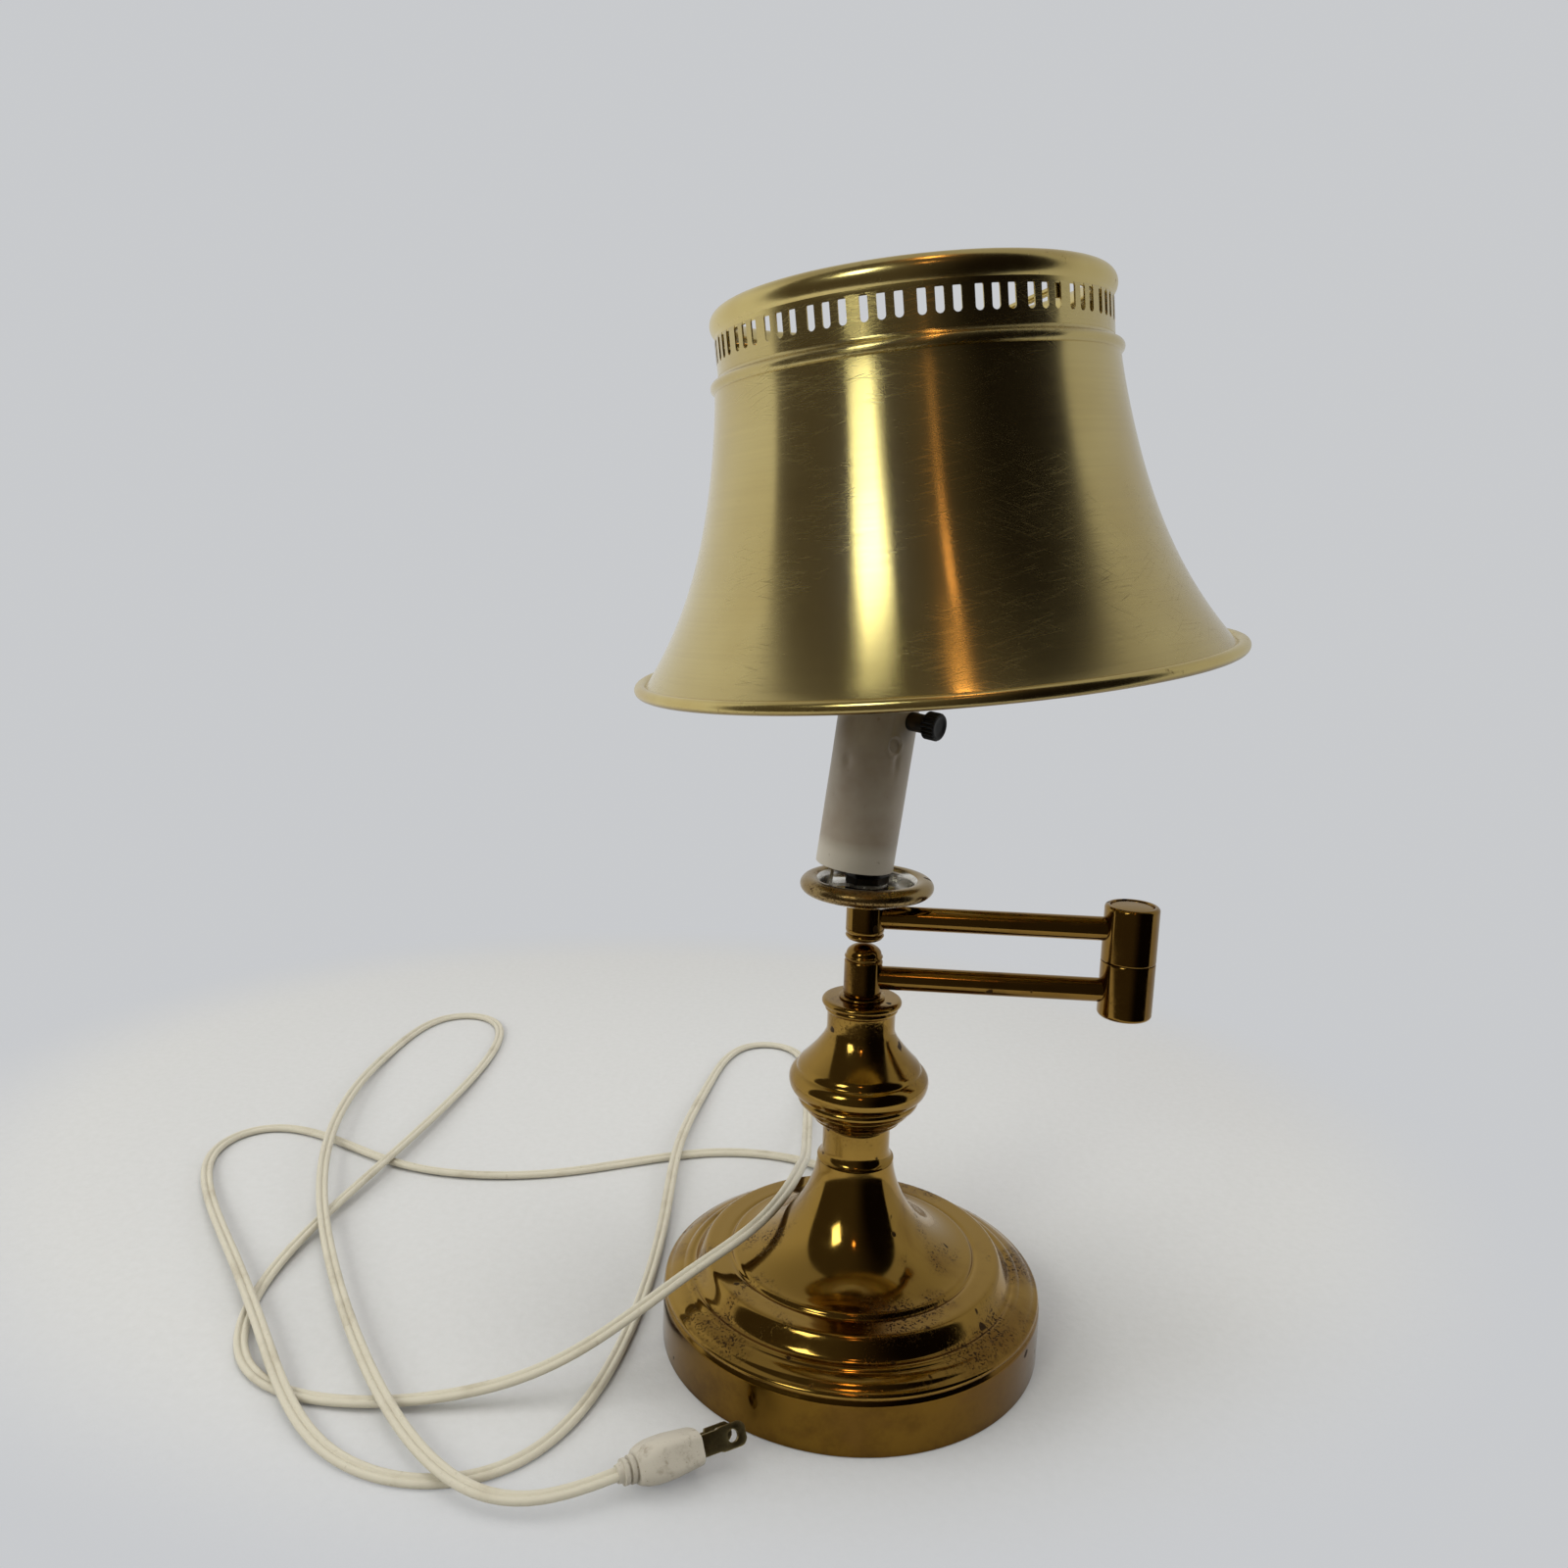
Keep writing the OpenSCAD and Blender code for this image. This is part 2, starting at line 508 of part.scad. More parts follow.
// Half outline of the bulb, r smaller than its outer surface by t
function bulb_line(t) = concat(oval([0, bulb_up], bulb_r - t, bulb_r - t, 90, -24, 22),
    [for (i = [1:7]) let(h = i / 7) [cap_r - t - 0.2 + (bulb_r * cos(24) - cap_r + 0.2) * pow(1 - h, 1.35),
        bulb_up - bulb_r * sin(24) - (bulb_up - bulb_r * sin(24) - cap_h - 0.1) * h]]);
module bulb_glass() color("white") in_candle() translate([0, 0, contact_z]) difference() {
    turned(concat(bulb_line(0), [[0, cap_h + 0.1]]));
    turned(concat(bulb_line(0.7), [[0, cap_h + 0.1]]));
}
// Glass stem with three wires that hold the filament, all as long as the bulb allows
stem_h = 0.73 * bulb_r;
module bulb_stem() color("silver") in_candle() translate([0, 0, cap_top]) {
    cylinder(h = stem_h, r = 0.1 * bulb_r);
    translate([0, 0, stem_h - 2]) {
        for (a = [-28, 0, 28]) rotate([0, a, 0]) cylinder(h = bulb_r, r = 0.4, $fn = 16);
        translate([-0.45 * bulb_r, 0, 0.86 * bulb_r]) rotate([0, 90, 0])
            cylinder(h = 0.9 * bulb_r, r = 0.4, $fn = 16);
    }
}

// One clip finger: two bowed wires round the bulb, joined by a cross bar at their ends
module finger_wire(y) translate([0, y, 0]) rotate([90, 0, 0]) {
    c = sqrt(clip_r * clip_r - y * y);
    a = asin(8 / c);
    rotate([0, 0, -8]) rotate_extrude(angle = 98 - a) translate([c, 0]) circle(r = clip_wire / 2, $fn = 24);
    translate([8, c * cos(a) - 0.3, 0]) rotate([-90, 0, 0])
        cylinder(h = plate_z - c * cos(a) + 0.3, r = clip_wire / 2 + 0.2, $fn = 24);
}
module clip_fingers() color("silver") in_shade() for (s = [0, 180]) rotate([0, 0, s]) {
    finger_wire(clip_w / 2);
    finger_wire(-clip_w / 2);
    translate([(clip_r + 0.1) * cos(8), -clip_w / 2 - 1.3, -(clip_r + 0.1) * sin(8)]) rotate([-90, 0, 0])
        cylinder(h = clip_w + 2.6, r = clip_wire / 2 + 0.2, $fn = 24);
}
module clip_plate() color("silver") in_shade() translate([0, 0, plate_z]) difference() {
    cylinder(h = 1.2, r = sqrt(64 + clip_w * clip_w / 4) + 1.4);
    translate([0, 0, -1]) cylinder(h = 4, r = stud_d / 2 + seat_fit);
}
module clip_stud() color("silver") in_shade() {
    translate([0, 0, plate_z - 0.7]) cylinder(h = 0.7, r = stud_d / 2 + 1);
    translate([0, 0, plate_z]) cylinder(h = stud_top - plate_z, r = stud_d / 2);
    translate([0, 0, plate_z + 1.2]) tube(spider_z - 1.5 - plate_z - 1.2, stud_d / 2 + 2, stud_d / 2 - 0.2);
}
module clip_nut() color("goldenrod") in_shade() translate([0, 0, spider_z + 1.5]) difference() {
    union() {
        cylinder(h = 3.4, r = stud_d / 2 + 3);
        for (i = [0:15]) rotate([0, 0, 22.5 * i]) translate([stud_d / 2 + 2.9, 0, 0.3])
            cylinder(h = 2.8, r = 0.5, $fn = 16);
    }
    translate([0, 0, -1]) cylinder(h = 6, r = stud_d / 2 + seat_fit);
}
module shade_spider() color("goldenrod") in_shade() translate([0, 0, spider_z]) {
    tube(1.3, stud_d / 2 + 5.5, stud_d / 2 + run_fit);
    rise = gallery_top - 3 - shade_drop - spider_z;
    run = gallery_r - shade_sheet - 1 - stud_d / 2 - 4;
    for (k = [0:2]) rotate([0, 0, -50 + 120 * k]) {
        translate([stud_d / 2 + 4, 0, 0.65]) rotate([0, 90 - atan2(rise, run), 0])
            cylinder(h = sqrt(rise * rise + run * run), r = spider_wire / 2, $fn = 32);
        translate([gallery_r - shade_sheet - 1.4, -4, rise - 2.4]) cube([1, 8, 5.4]);
    }
}
module shade_shell() color("goldenrod") in_shade() translate([0, 0, -shade_drop]) {
    difference() {
        turned(sheet_line(shade_line, shade_sheet));
        for (g = [0:slot_groups - 1], k = [-1:1])
            rotate([0, 0, 275.3 + 360 / slot_groups * g + 4.4 * k])
                translate([gallery_r - 4, 0, slot_z]) rotate([90, 0, 90]) linear_extrude(8) {
                    translate([-slot_w / 2, (slot_w - slot_h) / 2]) square([slot_w, slot_h - slot_w]);
                    for (e = [-1, 1]) translate([0, e * (slot_h - slot_w) / 2])
                        circle(r = slot_w / 2, $fn = 24);
                }
    }
    ring(shade_r, shade_bead / 2);
    translate([0, 0, body_h + 2.9]) ring(waist_r - 0.8, 1.9);
}

// Control points of the cord, with the height of its centre; it runs on a smooth curve drawn in by them
low = cord_t / 2 + 0.1;
over = low + 1.5 * (cord_t + 0.7);
exit_r = base_r + relief_len;
route = [
    [exit_r * cos(exit_az), exit_r * sin(exit_az), exit_z],
    [-8, 112, 3.8], [-16, 132, low], [-76, 144, low], [-150, 96, low], [-222, 92, low],
    [-268, 119, low], [-318, 140, low], [-344, 98, low], [-266, 5, over], [-226, -45, over],
    [-180, -104, low], [-120, -110, low], [-88, -66, low], [-85, 48, low], [-96, 130, over],
    [-90, 210, low], [-84, 288, low], [-38, 288, low], [-30, 236, low], [-25, 124, 8],
    [-24, 76, 32], [-27, 16, 49], [-38, -14, 47.5], [-62, -26, 35.5], [-86, -48, 24],
    [-120, -63, 6], [-182, -76, low], [-234, -63, low], [-254, 2, low], [-236, 92, over],
    [-227, 225, low], [-238, 308, low], [-290, 308, low], [-295, 236, low], [-290, 165, over],
    [-262, 62, over + 1.5], [-166, -83, over], [-110, -124, over - 1], [-74, -103, 8.8]
];
function bend(a, b, c, d, u) = (a * pow(1 - u, 3) + b * (3 * pow(u, 3) - 6 * u * u + 4)
    + c * (1 + 3 * u + 3 * u * u - 3 * pow(u, 3)) + d * pow(u, 3)) / 6;
last = len(route) - 1;
full = concat([2 * route[0] - route[1]], route, [2 * route[last] - route[last - 1]]);
path = concat([for (i = [0:last - 1]) let(n = max(1, round(gap2(route[i], route[i + 1]) / 24)))
    for (k = [0:n - 1]) bend(full[i], full[i + 1], full[i + 2], full[i + 3], k / n)], [route[last]]);
function along(i) = i == 0 ? [cos(exit_az), sin(exit_az), 0]
    : i == len(path) - 1 ? [cos(34), sin(34), 0] : path[i + 1] - path[i - 1];
// Outline of the twin cord: two round halves and a groove
cord_lobe = (cord_w - cord_t) / 2;
cord_edge = concat([for (a = [-100:50:100]) [cord_lobe + cord_t / 2 * cos(a), cord_t / 2 * sin(a)]],
    [[0, cord_t * 0.36]], [for (a = [80:50:280]) [-cord_lobe + cord_t / 2 * cos(a), cord_t / 2 * sin(a)]],
    [[0, -cord_t * 0.36]]);
function unit(v) = v / norm(v);
module swept(p) {
    m = len(cord_edge);
    n = len(p);
    pts = [for (i = [0:n - 1]) let(t = unit(along(i)), s = unit([t[1], -t[0], 0]), u = cross(s, t))
        for (e = cord_edge) p[i] + s * e[0] + u * e[1]];
    polyhedron(pts, concat([[for (k = [0:m - 1]) k]], [[for (k = [m - 1:-1:0]) (n - 1) * m + k]],
        [for (i = [0:n - 2], k = [0:m - 1]) let(a = i * m + k, b = i * m + (k + 1) % m) [a, a + m, b]],
        [for (i = [0:n - 2], k = [0:m - 1]) let(a = i * m + k, b = i * m + (k + 1) % m) [b, a + m, b + m]]));
}
module cord() color("wheat") swept(path);
module cord_relief() color("wheat") translate([0, 0, exit_z]) rotate([0, 90, exit_az]) {
    translate([0, 0, base_r - sheet - 1.4]) cylinder(h = 1.2, r = 5);
    translate([0, 0, base_r - sheet - 0.4]) cylinder(h = sheet + 0.8, r = 3.6);
    translate([0, 0, base_r + 0.3]) cylinder(h = relief_len - 0.3, r1 = 4.2, r2 = cord_w / 2 + 0.3);
}

// The plug lies on its lower edge, rolled towards the front
plug_roll = -33;
plug_half = (plug_w - plug_t) / 2;
plug_z = route[last][2];
module in_plug() translate([route[last][0], route[last][1], plug_z]) rotate([0, 0, 34])
    rotate([plug_roll, 0, 0]) children();
module plug_body() color("wheat") in_plug() {
    rotate([0, 90, 0]) cylinder(h = 2.2, r1 = cord_w / 2 + 0.2, r2 = 3.4);
    for (i = [0:1]) translate([2 + 2.4 * i, 0, 0]) rotate([0, 90, 0]) cylinder(h = 1.6, r = 4.2);
    translate([2, 0, 0]) rotate([0, 90, 0]) cylinder(h = 6, r = 3.4);
    hull() {
        translate([6.4, 0, 0]) rotate([0, 90, 0]) cylinder(h = 2, r = 4.4, $fn = 32);
        for (s = [-1, 1]) translate([13, s * (plug_half - 0.6), 0]) rotate([0, 90, 0])
            cylinder(h = plug_len - 14.5, r = plug_t / 2, $fn = 32);
        for (s = [-1, 1]) translate([13, s * (plug_half - 0.6), 0]) rotate([0, 90, 0])
            cylinder(h = plug_len - 13, r = plug_t / 2 - 1.2, $fn = 32);
        for (s = [-1, 1]) translate([15, s * plug_half, 0]) rotate([0, 90, 0])
            cylinder(h = plug_len - 17, r = plug_t / 2, $fn = 32);
    }
}
module blade(w, side) in_plug() translate([plug_len, side * blade_gap / 2, 0]) rotate([90, 0, 0])
    translate([0, 0, -0.75]) difference() {
        linear_extrude(1.5) polygon([[0, -w / 2], [blade_len - 1.6, -w / 2], [blade_len, -w / 2 + 1.8],
            [blade_len, w / 2 - 1.8], [blade_len - 1.6, w / 2], [0, w / 2]]);
        translate([blade_len - 5, 0, -1]) cylinder(h = 4, r = 2, $fn = 32);
    }
module blade_wide() color("goldenrod") blade(7.9, -1);
module blade_narrow() color("goldenrod") blade(6.3, 1);

base_shell();
base_weight();
base_pad();
base_spacer();
base_nut();
lamp_pipe();
neck_spool();
vase_body();
top_collar();
bead_ring();
cord_relief();
cord();
plug_body();
blade_wide();
blade_narrow();
lower_hub();
lower_cap();
lower_tube();
elbow_lower();
elbow_lower_disc();
elbow_pin();
elbow_upper();
elbow_upper_disc();
upper_tube();
upper_hub();
upper_cap();
pan_nipple();
drip_pan();
pan_nut();
bracket_nut();
socket_bracket();
socket_screw();
socket_body();
screw_shell();
centre_contact();
switch_neck();
candle_sleeve();
bulb_cap();
bulb_glass();
bulb_stem();
switch_shaft();
switch_knob();
clip_fingers();
clip_plate();
clip_stud();
clip_nut();
shade_spider();
shade_shell();
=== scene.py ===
"""The swing arm table lamp's looks: finishes, finer pieces over the CAD nodes, and the studio."""
import math

import bmesh
import bpy
from mathutils import Matrix, Vector, noise

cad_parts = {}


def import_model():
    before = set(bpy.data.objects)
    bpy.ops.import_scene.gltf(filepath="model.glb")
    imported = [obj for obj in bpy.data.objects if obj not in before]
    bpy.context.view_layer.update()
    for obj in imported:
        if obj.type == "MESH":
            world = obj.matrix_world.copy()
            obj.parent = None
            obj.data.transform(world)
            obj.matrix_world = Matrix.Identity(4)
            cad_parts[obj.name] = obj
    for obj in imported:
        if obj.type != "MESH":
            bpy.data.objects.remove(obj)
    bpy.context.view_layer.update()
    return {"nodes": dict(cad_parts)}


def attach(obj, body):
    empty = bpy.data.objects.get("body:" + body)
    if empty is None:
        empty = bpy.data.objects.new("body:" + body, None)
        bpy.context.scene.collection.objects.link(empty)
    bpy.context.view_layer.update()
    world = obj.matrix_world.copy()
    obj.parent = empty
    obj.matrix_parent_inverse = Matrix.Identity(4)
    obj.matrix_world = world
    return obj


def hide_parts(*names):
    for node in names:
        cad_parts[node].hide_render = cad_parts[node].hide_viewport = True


MM = 0.001
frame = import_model()
nodes = frame["nodes"]


def turn(axis, degrees):
    """A rotation in degrees."""
    return Matrix.Rotation(math.radians(degrees), 4, axis)


def shift(x, y, z):
    """A move in millimetres."""
    return Matrix.Translation((x * MM, y * MM, z * MM))


# Heights in millimetres of the tubes' axes and of the elbow's two halves at its seam
LOWER_AXIS, UPPER_AXIS = 149.6, 174.0
SEAM_BELOW, SEAM_ABOVE = 161.7, 161.9
ELBOW_X = 101
ELBOW_PAST_TUBE = 9.8

# Headings of the cord where it leaves the base, and of the plug
CORD_HEADING, PLUG_HEADING = 94, 34
PLUG_PLACE = (-74, -103, 8.8)

# Where the leaning pieces stand: the candle, its switch, the bulb's centre, the shade round it and the
# plug. SHADE_FOOT is the shade's place with the origin at its lower edge.
CANDLE = shift(-5.1, 0, 194.4) @ turn("Y", 6.5)
SWITCH = CANDLE @ shift(0, 0, 59) @ turn("Z", -35) @ turn("Y", 90)
BULB = CANDLE @ shift(0, 0, 152.6)
SHADE = Matrix.Translation(BULB.translation) @ turn("Y", -6.66) @ turn("X", 2.52)
SHADE_FOOT = SHADE @ shift(0, 0, -72.9)
PLUG = shift(*PLUG_PLACE) @ turn("Z", PLUG_HEADING) @ turn("X", -33)


# ---------------------------------------------------------------- camera
def photograph_camera():
    """The camera fitted to the photograph: where it stands, and how it turns, looks down and leans."""
    heading, down, lean = 4.293, 9.821, 1.74
    lens = bpy.data.cameras.new("photo_camera")
    lens.sensor_fit = "HORIZONTAL"
    lens.sensor_width = 36
    lens.lens = 27.045
    lens.clip_start = 0.01
    camera = bpy.data.objects.new("photo_camera", lens)
    bpy.context.scene.collection.objects.link(camera)
    place = Matrix.Translation((0, -0.4427, 0.3015))
    camera.matrix_world = place @ turn("Z", heading) @ turn("X", 90 - down) @ turn("Z", lean)
    bpy.context.scene.camera = camera


photograph_camera()


# ---------------------------------------------------------------- shader maths
class Value:
    """A socket whose numbers can be added and multiplied like plain ones."""

    def __init__(self, tree, socket):
        self.tree, self.socket = tree, socket

    def _math(self, operation, a, b):
        maths = self.tree.nodes.new("ShaderNodeMath")
        maths.operation = operation
        for i, v in enumerate((a, b)):
            if isinstance(v, Value):
                self.tree.links.new(v.socket, maths.inputs[i])
            else:
                maths.inputs[i].default_value = v
        return Value(self.tree, maths.outputs[0])

    def __add__(self, other):
        return self._math("ADD", self, other)

    def __sub__(self, other):
        return self._math("SUBTRACT", self, other)

    def __rsub__(self, other):
        return self._math("SUBTRACT", other, self)

    def __mul__(self, other):
        return self._math("MULTIPLY", self, other)

    def __pow__(self, other):
        return self._math("POWER", self, other)

    __radd__ = __add__
    __rmul__ = __mul__


class Patterns:
    """Short ways to lay patterns and mixes into a node tree."""

    def __init__(self, tree):
        self.tree = tree

    def node(self, kind, settings=None, sockets=None, out=0):
        """A new node, set and linked; gives one of its outputs."""
        made = self.tree.nodes.new(kind)
        for key, value in (settings or {}).items():
            setattr(made, key, value)
        for key, value in (sockets or {}).items():
            if isinstance(value, Value):
                self.tree.links.new(value.socket, made.inputs[key])
            else:
                made.inputs[key].default_value = value
        return Value(self.tree, made.outputs[out])

    def split(self, vector):
        """The x, y and z of a vector."""
        apart = self.tree.nodes.new("ShaderNodeSeparateXYZ")
        self.tree.links.new(vector.socket, apart.inputs[0])
        return [Value(self.tree, s) for s in apart.outputs]

    def ramp(self, value, low, high, bottom=0.0, top=1.0):
        """A smooth step from bottom, where the value is low, to top, where it is high."""
        return self.node(
            "ShaderNodeMapRange",
            {"interpolation_type": "SMOOTHSTEP"},
            {0: value, 1: low, 2: high, 3: bottom, 4: top},
        )

    def mix(self, mask, a, b):
        """Colour a where the mask is 0, colour b where it is 1."""
        sockets = {0: mask}
        for index, colour in ((6, a), (7, b)):
            sockets[index] = colour if isinstance(colour, Value) else (*colour, 1.0)
        settings = {"data_type": "RGBA", "clamp_factor": True}
        return self.node("ShaderNodeMix", settings, sockets, out=2)


class Finish(Patterns):
    """A material on object coordinates."""

    def __init__(self, name, metallic=0.0, ior=1.45, **fixed):
        self.material = bpy.data.materials.new(name)
        self.material.use_nodes = True
        super().__init__(self.material.node_tree)
        self.shader = self.tree.nodes["Principled BSDF"]
        self.shader.inputs["Metallic"].default_value = metallic
        self.shader.inputs["IOR"].default_value = ior
        for socket, value in fixed.items():
            self.shader.inputs[socket.replace("_", " ").title()].default_value = value
        self.at = self.node("ShaderNodeTexCoord", out="Object")

    def stretched(self, x, y, z, at=None):
        """Object coordinates drawn out, so that a pattern runs along an axis."""
        sockets = {"Vector": at or self.at, "Scale": (x, y, z)}
        return self.node("ShaderNodeMapping", sockets=sockets)

    def in_frame(self, where):
        """Coordinates of a leaning piece's own axes."""
        sockets = {
            "Vector": self.at,
            "Location": where.translation,
            "Rotation": where.to_euler("XYZ"),
        }
        return self.node("ShaderNodeMapping", {"vector_type": "TEXTURE"}, sockets)

    def grain(self, scale, detail, roughness, at=None, distortion=0.0):
        """Noise between 0 and 1, finer as the scale grows."""
        return self.node(
            "ShaderNodeTexNoise",
            sockets={
                "Vector": at or self.at,
                "Scale": scale,
                "Detail": detail,
                "Roughness": roughness,
                "Distortion": distortion,
            },
        )

    def colour(self, value):
        self._feed("Base Color", value if isinstance(value, Value) else (*value, 1.0))

    def rough(self, value):
        self._feed("Roughness", value)

    def relief(self, height, depth, strength):
        """Fine bumps that only the light shows, at most depth metres high."""
        sockets = {"Height": height, "Distance": depth, "Strength": strength}
        bump = self.node("ShaderNodeBump", sockets=sockets)
        self._feed("Normal", bump)

    def _feed(self, socket, value):
        if isinstance(value, Value):
            self.tree.links.new(value.socket, self.shader.inputs[socket])
        else:
            self.shader.inputs[socket].default_value = value


# ---------------------------------------------------------------- finishes
GOLD = (0.37, 0.225, 0.05)
PALE_GOLD = (0.42, 0.35, 0.2)
BROWN = (0.19, 0.097, 0.022)
TARNISH = (0.045, 0.024, 0.012)


def base_wear_and_rim_shade(f, field, light):
    """Keeps the pits off the base's rim and most of its cone; darkens the upright rim with painted shade, and
    adds worn mottles and a painted shade band at its foot.
    """
    rim_painted_shade, mottled_shaded_brown = (0.2, 0.104, 0.012), (0.09, 0.045, 0.008)
    rim = (0.0195, 0.023)  # the heights in metres between which the rim ends
    _, _, z = f.split(f.at)
    field = field * f.ramp(z, 0.02, 0.027) * (1 - f.ramp(z, 0.044, 0.054, 0.0, 0.9))
    # the upright rim darkened brown: painted shade standing in for the darker surroundings it reflects
    light = f.mix(f.ramp(z, *rim, 0.85, 0.0), light, rim_painted_shade)
    # random worn mottles, plus a darker band along the rim's foot that paints the shade where it meets the table
    mottles_and_foot_shade = f.ramp(f.grain(48, 5, 0.7), 0.42, 0.7) + f.ramp(z, 0.0, 0.003, 0.6, 0.0)
    light = f.mix(mottles_and_foot_shade * f.ramp(z, *rim, 0.6, 0.0), light, mottled_shaded_brown)
    return field, light


def aged_brass(name, patch=0.55, pits=0.35, gloss=0.09, pale=0.0, shade_darkening=0.0, wavy=0.6, on_base=False):
    """Old polished brass: golden with brown stains, fields of fine dark pits and handling scratches."""
    f = Finish(name, metallic=1.0)
    stain = f.ramp(f.grain(24, 4, 0.6, distortion=0.5), 0.47, 0.72)
    cloud = f.ramp(f.grain(8, 2, 0.5), 0.35, 0.7)
    light = tuple(g + (p - g) * pale for g, p in zip(GOLD, PALE_GOLD))
    field = f.ramp(f.grain(26, 4, 0.65), 0.5, 0.64)
    if on_base:
        field, light = base_wear_and_rim_shade(f, field, light)
    # shade_darkening pulls the whole colour towards brown: painted shade for pieces that reflect darker
    # surroundings
    body = f.mix(stain * patch + cloud * 0.2 + field * pits * 0.25 + shade_darkening, light, BROWN)
    fine = f.ramp(f.grain(1100, 1, 0.5), 0.56, 0.62)
    coarse = f.ramp(f.grain(800, 2, 0.6), 0.6, 0.66)
    lone = f.ramp(f.grain(150, 1, 0.4), 0.735, 0.77)
    spots = f.node("ShaderNodeClamp", sockets={0: (fine + coarse) * field * pits + lone})
    f.colour(f.mix(spots * 0.9, body, TARNISH))
    smear = f.ramp(f.grain(55, 3, 0.6, at=f.stretched(1, 1, 2.6)), 0.4, 0.8)
    f.rough(gloss + smear * 0.09 + stain * 0.06 + spots * 0.4)
    wave = f.grain(30, 1, 0.4) * wavy + f.grain(1100, 2, 0.6) * 0.02
    f.relief(wave - spots * 0.2, 0.0002, 0.4)
    return f.material


def satin_brass(name, where):
    """Pale lacquered brass, brushed round its axis, with fine slanting scratches that catch the light."""
    gloss = 0.195
    brushed = {"anisotropic": 0.97, "anisotropic_rotation": 0.25}
    lacquer = {"coat_weight": 0.55, "coat_roughness": 0.3}
    f = Finish(name, metallic=0.99, **brushed, **lacquer)
    own = f.in_frame(where)
    brush = f.grain(1, 2, 0.6, at=f.stretched(26, 26, 2600, at=own))
    strand = f.grain(1, 3, 0.6, at=f.stretched(9, 9, 1100, at=own))
    veil = f.ramp(f.grain(19, 3, 0.6, at=own), 0.4, 0.66)
    cloud = f.ramp(f.grain(13, 3, 0.6, at=own), 0.35, 0.75)
    speck = f.ramp(f.grain(420, 2, 0.5, at=own), 0.73, 0.79)
    marks = 0.0
    for lean in ((0.25, 0.2, 0), (-0.35, 0.1, 0.6), (0.6, -0.3, 0.2)):
        tipped = f.node("ShaderNodeMapping", sockets={"Vector": own, "Rotation": lean})
        lines = f.grain(1, 1, 0.5, at=f.stretched(75, 75, 2100, at=tipped), distortion=0.15)
        marks = f.ramp(lines, 0.6, 0.74) + marks
    marks = marks * veil
    pale = f.mix(cloud, (0.66, 0.535, 0.22), (0.57, 0.44, 0.16))
    streaked = f.mix(f.ramp(strand, 0.3, 0.7, 0.0, 0.18), pale, (0.49, 0.38, 0.16))
    f.colour(f.mix(speck * 0.3, streaked, (0.3, 0.19, 0.07)))
    f.rough(gloss + (strand - 0.5) * 0.05 + marks * 0.17 + (brush - 0.5) * 0.06 + veil * 0.03)
    f.relief(brush * 0.3 + strand * 0.1 + marks * 0.4, 0.00003, 0.2)
    return f.material


def bright_brass(name, where=None):
    """Polished pale brass. At the shade's place the underside of its lower bead is darkened as painted shade."""
    f = Finish(name, metallic=1.0)
    cloud = f.ramp(f.grain(22, 3, 0.6), 0.4, 0.75)
    speck = f.ramp(f.grain(300, 2, 0.5), 0.68, 0.78)
    body = f.mix(cloud * 0.8, (0.74, 0.6, 0.25), (0.6, 0.44, 0.15))
    if where is not None:
        _, _, z = f.split(f.in_frame(where))
        # painted shade on the lower half of the shade's bottom bead
        bead_underside_shade = f.ramp(z, -0.0019, -0.0002, 0.75, 0.0)
        body = f.mix(bead_underside_shade, body, (0.12, 0.07, 0.03))
    f.colour(f.mix(speck * 0.5, body, (0.25, 0.15, 0.05)))
    f.rough(f.grain(90, 3, 0.6) * 0.14 + 0.16 + speck * 0.2)
    f.relief(f.grain(500, 2, 0.5), 0.00003, 0.3)
    return f.material


def plain_metal(name, colour, stain, rough, scale=160):
    """Plain metal with soft stains in patches."""
    f = Finish(name, metallic=1.0)
    patch = f.ramp(f.grain(scale, 3, 0.6), 0.42, 0.72)
    f.colour(f.mix(patch, colour, stain))
    f.rough(rough + patch * 0.18 + f.grain(700, 2, 0.5) * 0.08)
    f.relief(f.grain(900, 3, 0.6), 0.00006, 0.4)
    return f.material


def moulded(name, colour, dirt, rough, amount, scale, bump=0.00005, **fixed):
    """Plastic, felt or cast iron, with dirt in patches and flecks."""
    f = Finish(name, **fixed)
    patch = f.ramp(f.grain(scale, 4, 0.62), 0.5, 0.78)
    fleck = f.ramp(f.grain(scale * 9, 2, 0.5), 0.66, 0.76)
    f.colour(f.mix(patch * amount + fleck * amount * 0.6, colour, dirt))
    f.rough(rough + f.grain(scale * 4, 3, 0.6) * 0.15)
    f.relief(f.grain(scale * 14, 3, 0.6), bump, 0.4)
    return f.material


aged = aged_brass("aged_brass")
aged_base = aged_brass("aged_brass_base", patch=0.6, pits=1.0, on_base=True)
# the pan and arm copies are darkened towards brown as painted shade
aged_pan = aged_brass("aged_brass_pan", patch=0.5, pits=0.6, gloss=0.2, pale=0.6, shade_darkening=0.25)
aged_arm = aged_brass("aged_brass_arm", patch=0.6, shade_darkening=0.4, wavy=0.2)
aged_face = aged_brass("aged_brass_face", patch=0.9, pits=0.6, gloss=0.3)
satin = satin_brass("satin_brass", SHADE_FOOT)
bright = bright_brass("bright_brass")
edge_brass = bright_brass("edge_brass", SHADE_FOOT)
silvery = plain_metal("bright_pan_inside", (0.86, 0.85, 0.82), (0.5, 0.46, 0.4), 0.14, 80)
